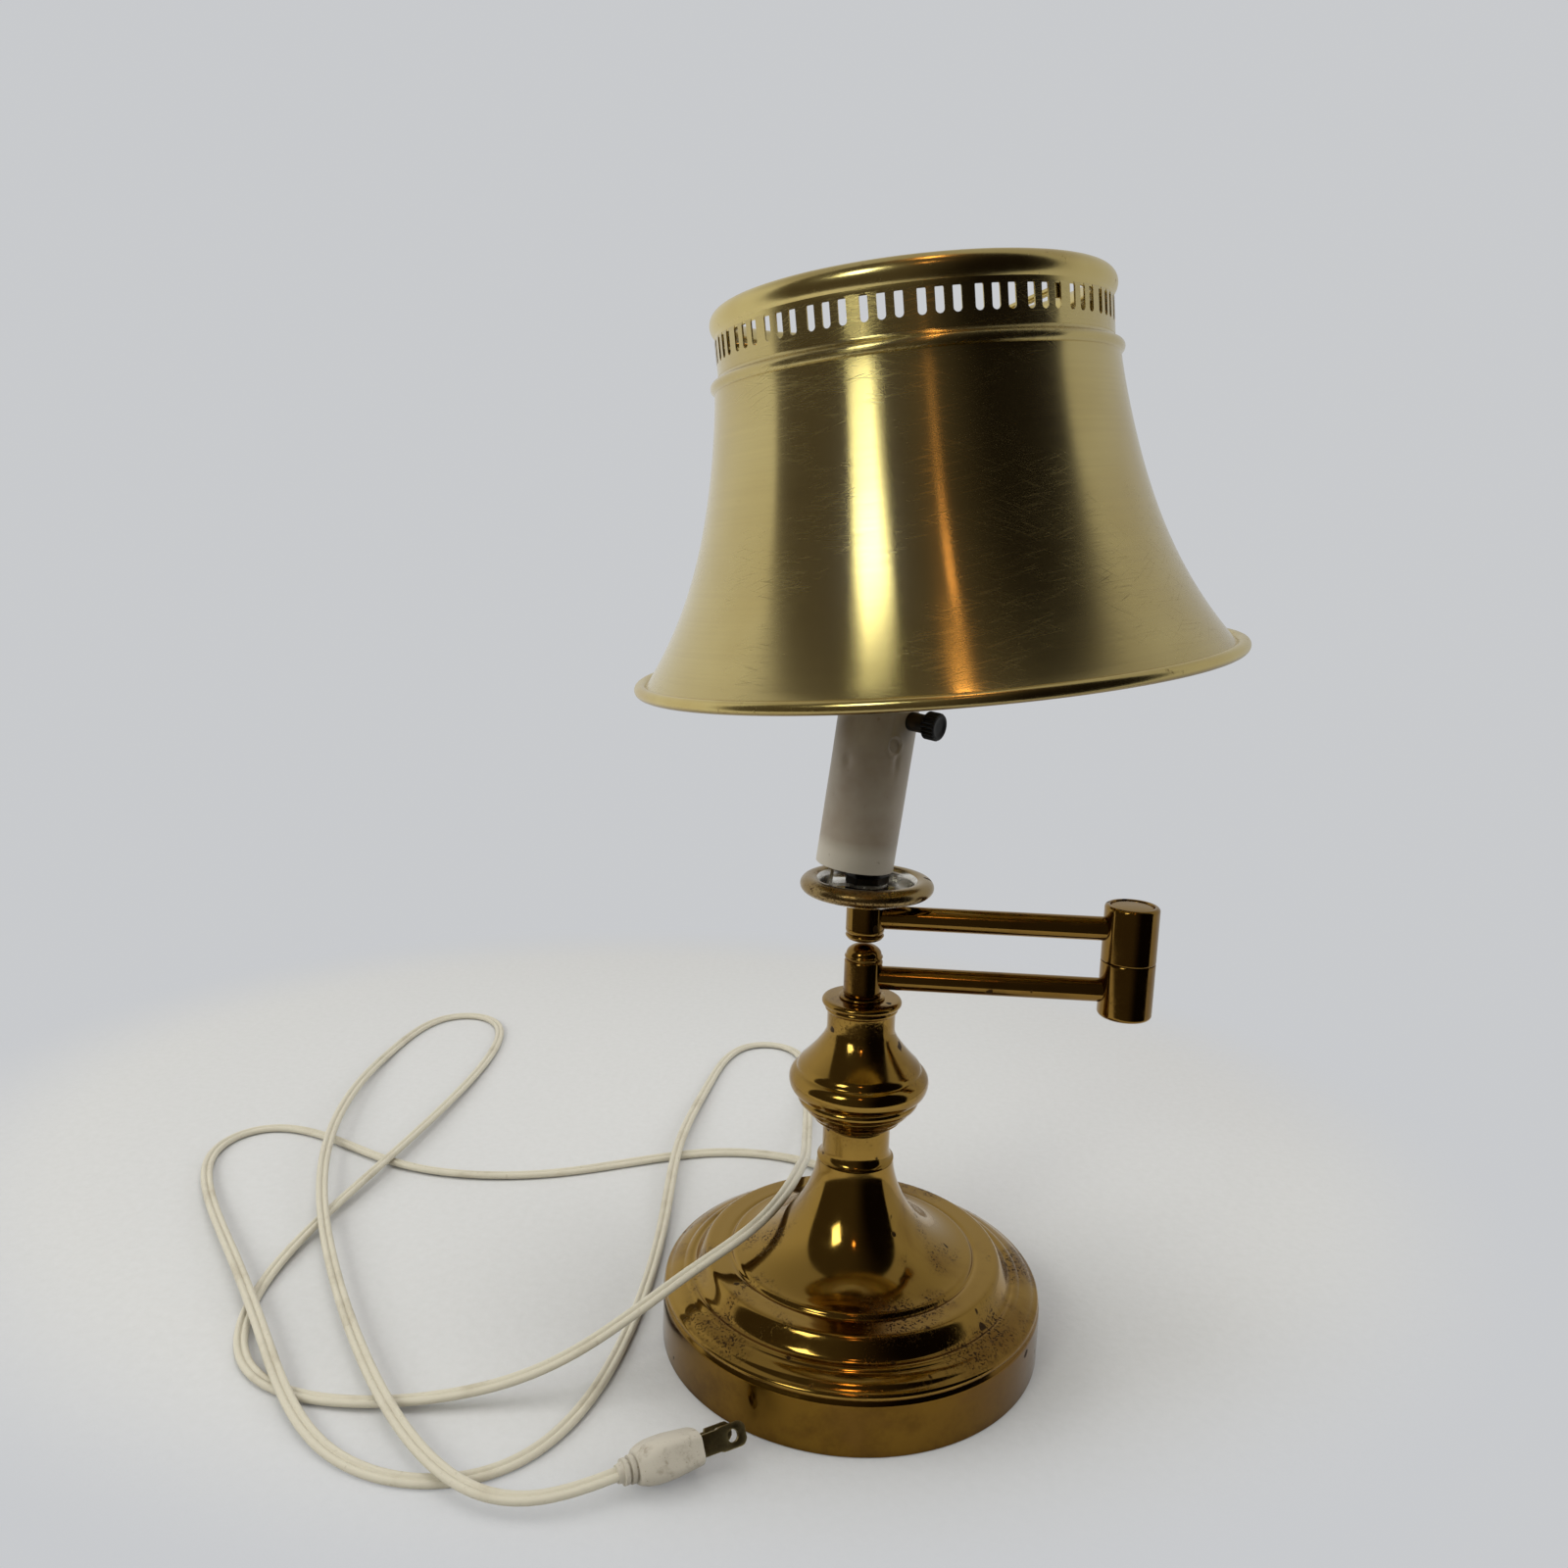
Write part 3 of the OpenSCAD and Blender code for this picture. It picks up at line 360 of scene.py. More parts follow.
# black steel for the nuts and switch neck; on the drip pan's middle the same black is painted shade
black_steel_and_shade = plain_metal("blackened_steel", (0.03, 0.028, 0.025), (0.07, 0.05, 0.03), 0.4, 120)
steel = plain_metal("steel", (0.5, 0.5, 0.49), (0.26, 0.24, 0.21), 0.3)
aluminium = plain_metal("cap_aluminium", (0.66, 0.66, 0.65), (0.42, 0.4, 0.37), 0.28)
blade_brass = plain_metal("blade_brass", (0.42, 0.34, 0.16), (0.2, 0.15, 0.07), 0.26, 260)
cast_iron = moulded(
    "cast_weight", (0.12, 0.115, 0.11), (0.05, 0.035, 0.025), 0.6, amount=0.8, scale=90, bump=0.0002
)
felt = moulded(
    "green_felt", (0.02, 0.07, 0.035), (0.05, 0.08, 0.05), 0.9, amount=0.7, scale=700, bump=0.0002
)
bakelite = moulded("socket_brown", (0.05, 0.03, 0.02), (0.1, 0.07, 0.05), 0.35, amount=0.4, scale=120)
knob_black = moulded(
    "knob_black", (0.006, 0.006, 0.007), (0.03, 0.03, 0.03), 0.34, amount=0.4, scale=300, ior=1.32
)
plug_cream = moulded(
    "plug_cream", (0.5, 0.46, 0.38), (0.17, 0.12, 0.07), 0.4, amount=0.85, scale=150, bump=0.00015
)
cord_cream = moulded(
    "cord_cream", (0.57, 0.53, 0.42), (0.3, 0.24, 0.15), 0.36, amount=0.45, scale=45, bump=0.00003
)


def bulb_white():
    """The bulb's white coated glass."""
    f = Finish("bulb_glass", subsurface_weight=0.25)
    haze = f.grain(40, 2, 0.5)
    f.colour(f.mix(haze, (0.86, 0.85, 0.81), (0.78, 0.76, 0.7)))
    f.rough(0.16 + haze * 0.12)
    f.relief(f.grain(220, 1, 0.5), 0.00002, 0.2)
    return f.material


bulb_glass = bulb_white()


def sleeve_plastic():
    """Cream plastic, browner in patches above its lowest centimetre: painted shade from the lampshade over it and
    the unlit front.
    """
    f = Finish("sleeve_white")
    _, _, z = f.split(f.in_frame(CANDLE))
    cloud = f.grain(30, 4, 0.6)
    sleeve_shade = f.ramp(z, 0.006, 0.0125) * f.ramp(cloud, 0.3, 0.7, 0.35, 0.75)
    # the body colour is aged cream kept darker by painted shade; the brown patches paint the deeper shade above
    # the lower edge
    body = f.mix(sleeve_shade, (0.5, 0.455, 0.375), (0.25, 0.185, 0.125))
    fleck = f.ramp(f.grain(260, 2, 0.5), 0.68, 0.75)
    f.colour(f.mix(fleck * 0.4, body, (0.2, 0.15, 0.1)))
    f.rough(0.26 + cloud * 0.2)
    f.relief(f.grain(350, 3, 0.6), 0.00003, 0.4)
    return f.material


sleeve_white = sleeve_plastic()


# ---------------------------------------------------------------- workshop
SAME_POINT = 2e-6  # points nearer than this, in metres, are one


def deselect():
    """Back to object mode, with nothing selected."""
    if bpy.context.object and bpy.context.object.mode != "OBJECT":
        bpy.ops.object.mode_set(mode="OBJECT")
    bpy.ops.object.select_all(action="DESELECT")


def chosen(*pieces):
    """These pieces selected alone, the first of them active."""
    deselect()
    for piece in pieces:
        piece.select_set(True)
    bpy.context.view_layer.objects.active = pieces[0]


def from_bmesh(name, mesh):
    """An object made of a mesh whose points were laid one by one."""
    data = bpy.data.meshes.new(name)
    mesh.to_mesh(data)
    mesh.free()
    piece = bpy.data.objects.new(name, data)
    bpy.context.scene.collection.objects.link(piece)
    return piece


def started(name):
    """The primitive that was just added, under its own name, all of it selected in edit mode."""
    piece = bpy.context.object
    piece.name = piece.data.name = name
    bpy.ops.object.mode_set(mode="EDIT")
    bpy.ops.mesh.select_all(action="SELECT")
    return piece


def closed():
    """Ends the edit of a piece: doubles merged, faces outward."""
    bpy.ops.mesh.select_all(action="SELECT")
    bpy.ops.mesh.remove_doubles(threshold=SAME_POINT)
    bpy.ops.mesh.normals_make_consistent(inside=False)
    bpy.ops.object.mode_set(mode="OBJECT")


def arc(r, z, rx, rz, start, end, count):
    """Points on an ellipse round (r, z), from one angle to another in degrees."""
    return [
        (r + rx * math.cos(a), z + rz * math.sin(a))
        for a in (math.radians(start + (end - start) * i / count) for i in range(count + 1))
    ]


def between(a, b, t):
    """The point that lies a share t of the way from a to b."""
    return a[0] + (b[0] - a[0]) * t, a[1] + (b[1] - a[1]) * t


def eased(line):
    """Cuts the corners of an open line, so that light runs smoothly over them."""
    cuts = [between(a, b, t) for a, b in zip(line, line[1:]) for t in (0.25, 0.75)]
    return [line[0]] + cuts + [line[-1]]


def walled(line, thickness):
    """A closed outline: the line, and back at a wall's thickness to its left."""
    back = []
    for i, (r, z) in enumerate(line):
        a, b = line[max(i - 1, 0)], line[min(i + 1, len(line) - 1)]
        length = math.hypot(b[0] - a[0], b[1] - a[1])
        side = ((a[1] - b[1]) / length, (b[0] - a[0]) / length)
        back.append((r + side[0] * thickness, z + side[1] * thickness))
    return line + back[::-1]


def held(line):
    """Points close to the ends of long straight runs, so that the shading stays flat along them."""
    long_run, from_end = 4.5, 0.2
    full = [line[0]]
    for a, b in zip(line, line[1:]):
        length = math.dist(a, b)
        if length > long_run:
            full += [between(a, b, t) for t in (from_end / length, 1 - from_end / length)]
        full.append(b)
    return full


def turned(name, line, steps):
    """An outline of (radius, height) in millimetres, drawn point by point and spun round Z."""
    line = held(line)
    deselect()
    bpy.ops.mesh.primitive_plane_add(size=0.001)
    piece = started(name)
    bpy.ops.mesh.merge(type="CENTER")
    bpy.ops.transform.translate(value=(line[0][0] * MM, 0, line[0][1] * MM))
    for a, b in zip(line, line[1:] + line[:1]):
        step = ((b[0] - a[0]) * MM, 0, (b[1] - a[1]) * MM)
        bpy.ops.mesh.extrude_region_move(TRANSFORM_OT_translate={"value": step})
    bpy.ops.mesh.select_all(action="SELECT")
    bpy.ops.mesh.remove_doubles(threshold=SAME_POINT)
    bpy.ops.mesh.spin(steps=steps, angle=math.tau, center=(0, 0, 0), axis=(0, 0, 1))
    closed()
    return piece


def fitted(piece, body, finish, slot, *stands_for, where=None, smooth=34):
    """Sets a piece in its place, smooths it, gives it its finish and hangs it on its body."""
    chosen(piece)
    if where is not None:
        piece.matrix_world = where
        bpy.ops.object.transform_apply(location=True, rotation=True, scale=True)
    bpy.ops.object.shade_smooth_by_angle(angle=math.radians(smooth))
    for material in finish if isinstance(finish, list) else [finish]:
        piece.data.materials.append(material)
    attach(piece, body)
    if stands_for:
        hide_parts(*stands_for)
    return piece


def joined(name, *pieces):
    """Several pieces as one object."""
    chosen(*pieces)
    bpy.ops.object.join()
    pieces[0].name = pieces[0].data.name = name
    return pieces[0]


# ---------------------------------------------------------------- cord and plug
LOW, OVER = 1.5, 6.75  # heights of the cord's middle on the table, and over a lower run
EXIT_R, EXIT_Z = 97, 5.5
EXIT_TURN = math.radians(CORD_HEADING)
ROUTE = [
    (EXIT_R * math.cos(EXIT_TURN), EXIT_R * math.sin(EXIT_TURN), EXIT_Z),
    (-8, 112, 3.8), (-16, 132, LOW), (-76, 144, LOW), (-150, 96, LOW), (-222, 92, LOW),
    (-268, 119, LOW), (-318, 140, LOW), (-344, 98, LOW), (-266, 5, OVER), (-226, -45, OVER),
    (-180, -104, LOW), (-120, -110, LOW), (-88, -66, LOW), (-85, 48, LOW), (-96, 130, OVER),
    (-90, 210, LOW), (-84, 288, LOW), (-38, 288, LOW), (-30, 236, LOW), (-25, 124, 8),
    (-24, 76, 32), (-27, 16, 49), (-38, -14, 47.5), (-62, -26, 35.5), (-86, -48, 24),
    (-120, -63, 6), (-182, -76, LOW), (-234, -63, LOW), (-254, 2, LOW), (-236, 92, OVER),
    (-227, 225, LOW), (-238, 308, LOW), (-290, 308, LOW), (-295, 236, LOW), (-290, 165, OVER),
    (-262, 62, OVER + 1.5), (-166, -83, OVER), (-110, -124, OVER - 1), PLUG_PLACE,
]


def cord_line():
    """Points about 4 mm apart on the cubic B-spline that the route's points draw in."""
    route = [Vector(p) for p in ROUTE]
    full = [2 * route[0] - route[1]] + route + [2 * route[-1] - route[-2]]
    line = []
    for i in range(len(route) - 1):
        a, b, c, d = full[i : i + 4]
        count = max(2, round((c - b).length / 4))
        for k in range(count):
            u = k / count
            v = 1 - u
            near = 3 * u**3 - 6 * u * u + 4
            next_one = 1 + 3 * u + 3 * u * u - 3 * u**3
            line.append((a * v**3 + b * near + c * next_one + d * u**3) / 6)
    return line + [route[-1]]


def level(degrees):
    """A level direction."""
    return Vector((math.cos(math.radians(degrees)), math.sin(math.radians(degrees)), 0))


def twin_cord():
    """Two round cores side by side, with a groove between them, that lean a little as they run."""
    core_x, core_r = 1.3, 1.4
    groove_x, groove_y = 0.12, 0.62
    most_lean, lean_every = math.radians(24), 150
    cord_run, straight = 2530, 60
    line = cord_line()
    edge = arc(core_x, 0, core_r, core_r, -130, 130, 13)
    edge += [(groove_x, groove_y), (-groove_x, groove_y)]
    edge += arc(-core_x, 0, core_r, core_r, 50, 310, 13)
    edge += [(-groove_x, -groove_y), (groove_x, -groove_y)]
    mesh = bmesh.new()
    rings = []
    reach = 0.0
    for i, point in enumerate(line):
        if i:
            reach += (point - line[i - 1]).length
        if i == 0:
            ahead = level(CORD_HEADING)
        elif i == len(line) - 1:
            ahead = level(PLUG_HEADING)
        else:
            ahead = (line[i + 1] - line[i - 1]).normalized()
        side = Vector((ahead.y, -ahead.x, 0)).normalized()
        up = side.cross(ahead)
        free = max(0, min(1, reach / straight, (cord_run - reach) / straight))
        lean = most_lean * noise.noise(Vector((reach / lean_every, 3.7, 0))) * free
        c, s = math.cos(lean), math.sin(lean)
        side, up = side * c + up * s, up * c - side * s
        if point.z < 2 * LOW:
            # lifted as it leans, so that the lower core stays on the table
            point.z += max(0, LOW - point.z + core_x * abs(s))
        rings.append([mesh.verts.new((point + side * x + up * y) * MM) for x, y in edge])
    for a, b in zip(rings, rings[1:]):
        for k in range(len(edge)):
            m = (k + 1) % len(edge)
            mesh.faces.new((a[k], a[m], b[m], b[k]))
    mesh.faces.new(rings[0][::-1])
    mesh.faces.new(rings[-1])
    bmesh.ops.recalc_face_normals(mesh, faces=mesh.faces)
    cord = from_bmesh("lamp_cord", mesh)
    fitted(cord, "base", cord_cream, "cord_plastic", "cord", smooth=60)
    return cord, [p * MM for p in line]


cord, line = twin_cord()


PLUG_LENGTH = 28
PLUG_STATIONS = [  # (distance from the cord's end, half width, half thickness)
    (0, 2.9, 2.9), (1.9, 3.3, 3.3), (2.0, 4.4, 4.2), (3.4, 4.4, 4.2), (3.5, 3.5, 3.4),
    (4.3, 3.5, 3.4), (4.4, 4.7, 4.5), (5.8, 4.7, 4.5), (5.9, 4.0, 3.8), (6.5, 4.2, 4.0),
    (6.6, 6.0, 5.0), (7.2, 6.7, 5.6), (9.5, 8.6, 6.5), (12.0, 9.8, 6.9), (15.0, 10.6, 7.0),
    (19.0, 10.9, 6.9), (23.0, 10.9, 6.5), (27.4, 10.8, 6.05), (27.85, 10.7, 5.95),
    (PLUG_LENGTH, 10.4, 5.7),
]


def plug():
    """A moulded plug: a ringed neck that swells to a broad body with flat sides."""
    neck_end, squareness, flat_side = 6.55, 2.7, 9.7
    deselect()
    bpy.ops.mesh.primitive_circle_add(vertices=48, radius=1, fill_type="NGON")
    piece = started("plug_moulding")
    bpy.ops.transform.rotate(value=math.radians(90), orient_axis="Z", center_override=(0, 0, 0))
    x0, w0, t0 = 0, 1, 1
    for x, w, t in PLUG_STATIONS:
        if x:
            bpy.ops.mesh.extrude_region_move(TRANSFORM_OT_translate={"value": (0, 0, x - x0)})
        bpy.ops.transform.resize(value=(t / t0, w / w0, 1), center_override=(0, 0, x))
        x0, w0, t0 = x, w, t
    bpy.ops.object.mode_set(mode="OBJECT")
    # the body's ovals are squared, and the plug, drawn upright, is laid along X
    for v in piece.data.vertices:
        x, y, z = v.co
        if z > neck_end:
            w, t = next((w, t) for at, w, t in PLUG_STATIONS if abs(at - z) < 0.01)
            a, b = abs(x) / t, abs(y) / w
            oval = (a**squareness + b**squareness) ** (1 / squareness)
            swell = (a * a + b * b) ** 0.5 / max(1e-6, oval)
            x, y = x * swell, max(-flat_side, min(flat_side, y * swell))
        v.co = Vector((z, y, -x)) * MM
    bpy.ops.object.mode_set(mode="EDIT")
    closed()
    fitted(piece, "base", plug_cream, "plug_plastic", "plug_body", where=PLUG, smooth=40)
    return piece


plug_piece = plug()


def blade(name, width, side, stands_for):
    """A flat blade with chamfered tip corners and a round hole near its tip, the hole at the origin."""
    hole_r, hole_points = 2, 32
    tip, behind, into_plug = 5, 5.2, 7.3
    half, chamfer = width / 2, 3.4
    hole_past_face, from_middle = 12, 6.35
    deselect()
    bpy.ops.mesh.primitive_circle_add(
        vertices=hole_points, radius=hole_r * MM, rotation=(math.radians(90), 0, 0)
    )
    piece = started(name)
    bpy.ops.object.mode_set(mode="OBJECT")
    bpy.ops.object.transform_apply(location=True, rotation=True, scale=True)
    bpy.ops.object.mode_set(mode="EDIT")
    bpy.ops.mesh.select_all(action="SELECT")
    bpy.ops.mesh.extrude_edges_move(TRANSFORM_OT_translate={"value": (0, 0, 0)})
    bpy.ops.mesh.select_all(action="DESELECT")
    bpy.ops.object.mode_set(mode="OBJECT")
    # the second ring of points is drawn from the hole out to the blade's outline
    for v in piece.data.vertices[hole_points:]:
        a = math.atan2(v.co.z, v.co.x)
        c, s = math.cos(a), math.sin(a)
        far = min((tip if c > 0 else behind) / max(abs(c), 1e-6), half / max(abs(s), 1e-6))
        x, z = far * c, far * s
        if x > 0 and x + abs(z) > chamfer + half:
            inward = (chamfer + half) / (x + abs(z))
            x, z = x * inward, z * inward
        v.co = (x * MM, 0, z * MM)
    # the back edge of the outline goes on into the plug
    for v in piece.data.vertices:
        v.select = v.co.x < (0.01 - behind) * MM
    for e in piece.data.edges:
        e.select = all(piece.data.vertices[i].select for i in e.vertices)
    bpy.ops.object.mode_set(mode="EDIT")
    bpy.ops.mesh.extrude_edges_move(TRANSFORM_OT_translate={"value": (-into_plug * MM, 0, 0)})
    bpy.ops.object.mode_set(mode="OBJECT")
    thick = piece.modifiers.new("gauge", "SOLIDIFY")
    thick.thickness = 1.5 * MM
    thick.offset = 0
    soft = piece.modifiers.new("edge", "BEVEL")
    soft.width = 0.16 * MM
    soft.segments = 2
    soft.angle_limit = math.radians(50)
    for m in (thick, soft):
        bpy.ops.object.modifier_apply(modifier=m.name)
    bpy.ops.object.mode_set(mode="EDIT")
    closed()
    where = PLUG @ shift(PLUG_LENGTH + hole_past_face, side * from_middle, 0)
    return fitted(piece, "base", blade_brass, "blade_brass", stands_for, where=where, smooth=30)


blades = [blade("blade_broad", 7.9, -1, "blade_wide"), blade("blade_slim", 6.3, 1, "blade_narrow")]


def relief():
    """The tapered sleeve round the cord behind the base, with ring grooves."""
    outline = [(0, 73.6), (5, 73.6), (5, 74.8), (3.6, 74.9), (3.6, 76.2), (4.3, 76.4)]
    for i in range(5):
        z = 78 + 3.3 * i
        r = 4.2 - 0.22 * i
        outline += [(r, z), (r - 0.1, z + 1.1)]
        outline += [(r - 0.7, z + 1.3), (r - 0.75, z + 2.1), (r - 0.2, z + 2.3)]
    outline += [(3.1, 95.0), (2.95, 96.6), (2.6, 97), (0, 97)]
    piece = turned("cord_sleeve", outline, 40)
    where = shift(0, 0, EXIT_Z) @ turn("Z", CORD_HEADING) @ turn("Y", 90)
    return fitted(piece, "base", cord_cream, "cord_plastic", "cord_relief", where=where)


relief()


# ---------------------------------------------------------------- base and column
def base_cover():
    """The spun cover: its upright rim with a bead, the stepped ridge, and the cone up to the neck."""
    line = [(76, 0.3), (76, 19.4), (75.8, 20.3)]
    line += arc(74, 22.5, 1.5, 1.5, -50, 80, 8)
    line += [(73.2, 24.6), (72.4, 25.4), (70.4, 26.4), (68.6, 26.9), (67.9, 26.95), (67.5, 27.3)]
    line += [(66.6, 27.9), (65.4, 28.0), (64.7, 27.75), (63.9, 27.8), (63.2, 28.3), (62.5, 29.2)]
    line += [(60.9, 31.9), (59.8, 33.8), (58.9, 34.75), (57.9, 35.0), (54, 34.95), (50.6, 35.1)]
    line += [(49.6, 34.75), (49, 34.9), (48.7, 35.5)]
    cone_foot, cone_height, cone_top_r, cone_spread, points = 36.5, 38, 15.2, 32.8, 24
    for i in range(points + 1):
        h = (i / points) ** 1.7
        line.append((cone_top_r + cone_spread * (1 - h**0.6) ** 1.55, cone_foot + cone_height * h))
    outline = walled(eased(line), 1.0)
    return turned("base_cover", outline, 144)


fitted(base_cover(), "base", aged_base, "brass_dark", "base_shell")


PIPE_HOLE = 5.1  # radius of the hole that the lamp pipe runs through


def neck():
    """The spool between the cone and the vase, with a bead at its foot."""
    line = [(PIPE_HOLE, 73.5), (13.9, 73.5), (13.9, 74.5), (15.15, 74.5), (15.35, 74.9), (15.2, 75.3)]
    line += [(14.5, 75.7), (13.9, 76.6), (13.55, 77.8), (13.4, 79.3)]
    line += [(13.4, 87.6), (13.5, 88.5), (13.3, 89.4), (PIPE_HOLE, 89.4)]
    return turned("column_neck", line, 96)


fitted(neck(), "base", aged, "brass_dark", "neck_spool")


def vase():
    """The hollow vase: rings from its foot to its belly, then a long shoulder up to a flared lip."""
    line = [(13.2, 89.5), (14.4, 89.6), (15.7, 90.5), (17.2, 91.9), (17.6, 92.1)]
    line += [(17.4, 92.6), (18.2, 93.2), (19.9, 94.7), (21.0, 96.0), (21.5, 96.8), (21.3, 97.2)]
    line += [(21.5, 97.6), (22.6, 98.0), (23.6, 98.9), (24.1, 100.0), (24.2, 101.0), (23.9, 101.6)]
    line += [(23.7, 101.9), (24.0, 102.3), (25.2, 102.7)]
    line += [(26.3, 103.6), (27.2, 105.2), (27.7, 107.4), (27.5, 109.4), (26.7, 110.9), (25.7, 111.9)]
    line += [(24.9, 112.3), (24.6, 112.8), (24.5, 113.4)]
    shoulder_z, shoulder_height, throat_r, spread, points = 112.3, 16, 13.4, 12.9, 14
    for i in range(2, points + 1):
        h = i / points
        line.append((throat_r + spread * (1 - h) ** 1.35, shoulder_z + shoulder_height * h))
    line += [(13.35, 131), (13.4, 135.9), (13.9, 136.3), (14.35, 136.9), (14.4, 137.6), (14.1, 138.2)]
    inside = [(11.4, 137), (11.4, 128), (14.5, 120), (21, 113.5), (24.5, 108)]
    inside += [(22, 101), (16, 95), (12, 91), (PIPE_HOLE, 90.4)]
    outline = eased(line) + [(PIPE_HOLE, 138.2), (PIPE_HOLE, 137.2)] + inside
    return turned("column_vase", outline, 128)


fitted(vase(), "base", aged, "brass_dark", "vase_body")


def collar():
    """The flat collar on the vase, with a half-round edge."""
    line = [(PIPE_HOLE, 138.3), (14.0, 138.3)]
    line += arc(14.2, 139.8, 1.5, 1.4, -85, 80, 12)
    line += [(13.6, 141.22), (11.5, 141.25), (9.6, 141.3), (PIPE_HOLE, 141.3)]
    return turned("column_collar", line, 96)


def collar_ring():
    """The fine bright bead between the collar and the lower arm's hub."""
    bead = arc(8.45, 141.86, 0.54, 0.53, -80, 80, 8)
    return turned("column_ring", [(PIPE_HOLE, 141.32)] + bead + [(PIPE_HOLE, 142.38)], 80)


fitted(collar(), "base", aged, "brass_dark", "top_collar")
fitted(collar_ring(), "base", aged, "brass_light", "bead_ring")


# ---------------------------------------------------------------- arms
def hub_line(bottom, height):
    """A round hub with a fine groove near each end."""
    top = bottom + height
    return [
        (PIPE_HOLE, bottom), (6.7, bottom), (7.2, bottom + 0.12), (7.35, bottom + 0.4),
        (7.5, bottom + 0.7), (7.5, bottom + 1.5), (7.32, bottom + 1.65), (7.32, bottom + 1.85), (7.5, bottom + 2),
        (7.5, top - 0.75), (7.3, top - 0.35), (7.0, top - 0.1), (6.6, top), (PIPE_HOLE, top),
    ]


def cap_line(base, height, sign):
    """A domed button on the end of a hub, with a fine bead round its foot."""
    line = [(0, 0), (6.7, 0), (6.75, 0.35), (7.1, 0.5), (7.42, 0.8), (7.5, 1.15)]
    line += [(7.4, 1.5), (7.1, 1.8), (6.95, 2.0)]
    line += arc(0, 2.0, 6.95, height - 2.0, 6, 90, 14)
    return [(r, base + sign * z) for r, z in line]


for name, outline, body, node in (
    ("arm_hub_lower", hub_line(142.6, 14.4), "lower_arm", "lower_hub"),
    ("arm_dome_lower", cap_line(157.0, 6.2, 1), "lower_arm", "lower_cap"),
    ("arm_hub_upper", hub_line(167.9, 13.1), "upper_arm", "upper_hub"),
    ("arm_dome_upper", cap_line(167.9, 3.5, -1), "upper_arm", "upper_cap"),
):
    fitted(turned(name, outline, 80), body, aged_arm, "brass_dark", node)


def arm_tube(name, height, body, stands_for):
    """A drawn tube with rounded ends, laid along X from its hub to the elbow."""
    bore, radius, length, start = 3.7, 4.6, 88.9, 5.6
    line = [(bore, 0), (radius - 0.2, 0), (radius, 0.2)]
    line += [(radius, length * i / 8) for i in range(1, 8)]
    line += [(radius, length - 0.2), (radius - 0.2, length), (bore, length)]
    where = shift(start, 0, height) @ turn("Y", 90)
    fitted(turned(name, line, 64), body, aged_arm, "brass_dark", stands_for, where=where)


arm_tube("arm_tube_lower", LOWER_AXIS, "lower_arm", "lower_tube")
arm_tube("arm_tube_upper", UPPER_AXIS, "upper_arm", "upper_tube")


def elbow_line(height):
    """Half of the elbow from its seam outwards, with a rounded edge round a sunk face."""
    line = [(3.6, 0), (9.9, 0), (10.15, 0.12), (10.3, 0.4), (10.3, height * 0.5), (10.3, height - 1.7)]
    line += arc(8.8, height - 1.5, 1.5, 1.5, 8, 90, 8)
    line += [(8.3, height - 0.15), (8.15, height - 0.6), (8.1, height - 1), (3.6, height - 1)]
    return line


def elbow(name, seam, sign, height, body, node):
    """One half of the elbow, which reaches from the seam to past its tube."""
    piece = turned(name, [(r, sign * z) for r, z in elbow_line(height)], 96)
    fitted(piece, body, aged_arm, "brass_dark", node, where=shift(ELBOW_X, 0, seam))


def elbow_face(name, height, sign, body, node):
    """The slightly domed disc sunk in an end of the elbow."""
    line = [(0, -0.9 * sign), (7.9, -0.9 * sign), (7.95, 0.1 * sign)]
    line += [(r, sign * z) for r, z in arc(0, 0.25, 7.9, 0.7, 4, 90, 10)]
    where = shift(ELBOW_X, 0, height)
    fitted(turned(name, line, 80), body, aged_face, "brass_light", node, where=where)


reach_down = SEAM_BELOW - LOWER_AXIS + ELBOW_PAST_TUBE
reach_up = UPPER_AXIS + ELBOW_PAST_TUBE - SEAM_ABOVE
elbow("elbow_half_lower", SEAM_BELOW, -1, reach_down, "lower_arm", "elbow_lower")
elbow("elbow_half_upper", SEAM_ABOVE, 1, reach_up, "upper_arm", "elbow_upper")
elbow_face("elbow_face_lower", 140.8, -1, "lower_arm", "elbow_lower_disc")
elbow_face("elbow_face_upper", 182.8, 1, "upper_arm", "elbow_upper_disc")


# ---------------------------------------------------------------- drip pan
def drip_pan():
    """A thin dish with a broad rolled lip."""
    foot_z = 181.0
    line = [(4.95, 0), (11.2, 0.05), (13.4, 0.25), (15.2, 0.8), (16.5, 1.7), (17.3, 2.8), (17.62, 4.0)]
    line += arc(21.85, 5.75, 3.95, 3.25, 170, -98, 26)
    outline = walled(line, -0.8)
    return turned("candle_pan", [(r, z + foot_z) for r, z in outline], 112)


def pan_lining(pan):
    """Gives the dish's inside its bright metal, and its middle under the candle a black finish that paints the
    shade under the sleeve.
    """
    bright_slot, shade_slot = 1, 2
    middle_r, dish_r, lip_r, inside_z = 12, 18.3, 19.2, 181.2
    for face in pan.data.polygons:
        r = math.hypot(face.center.x, face.center.y) / MM
        if face.center.z > inside_z * MM and (face.normal.z > 0 or r < dish_r):
            if r < middle_r:
                face.material_index = shade_slot
            elif middle_r < r < lip_r:
                face.material_index = bright_slot


pan = fitted(drip_pan(), "upper_arm", [aged_pan, silvery, black_steel_and_shade], "brass_light", "drip_pan")
pan_lining(pan)


# ---------------------------------------------------------------- candle, switch and bulb
SLEEVE_R = 15
SLEEVE_DENTS = [  # (degrees round, height, half width, half height, depth)
    (-66, 56, 1.3, 6.5, 0.9), (-52, 45, 1.2, 5.5, 0.7), (-118, 55, 5, 6, 1.2),
    (-126, 41, 2, 3, 0.8), (-95, 14, 9, 7, 0.3),
]


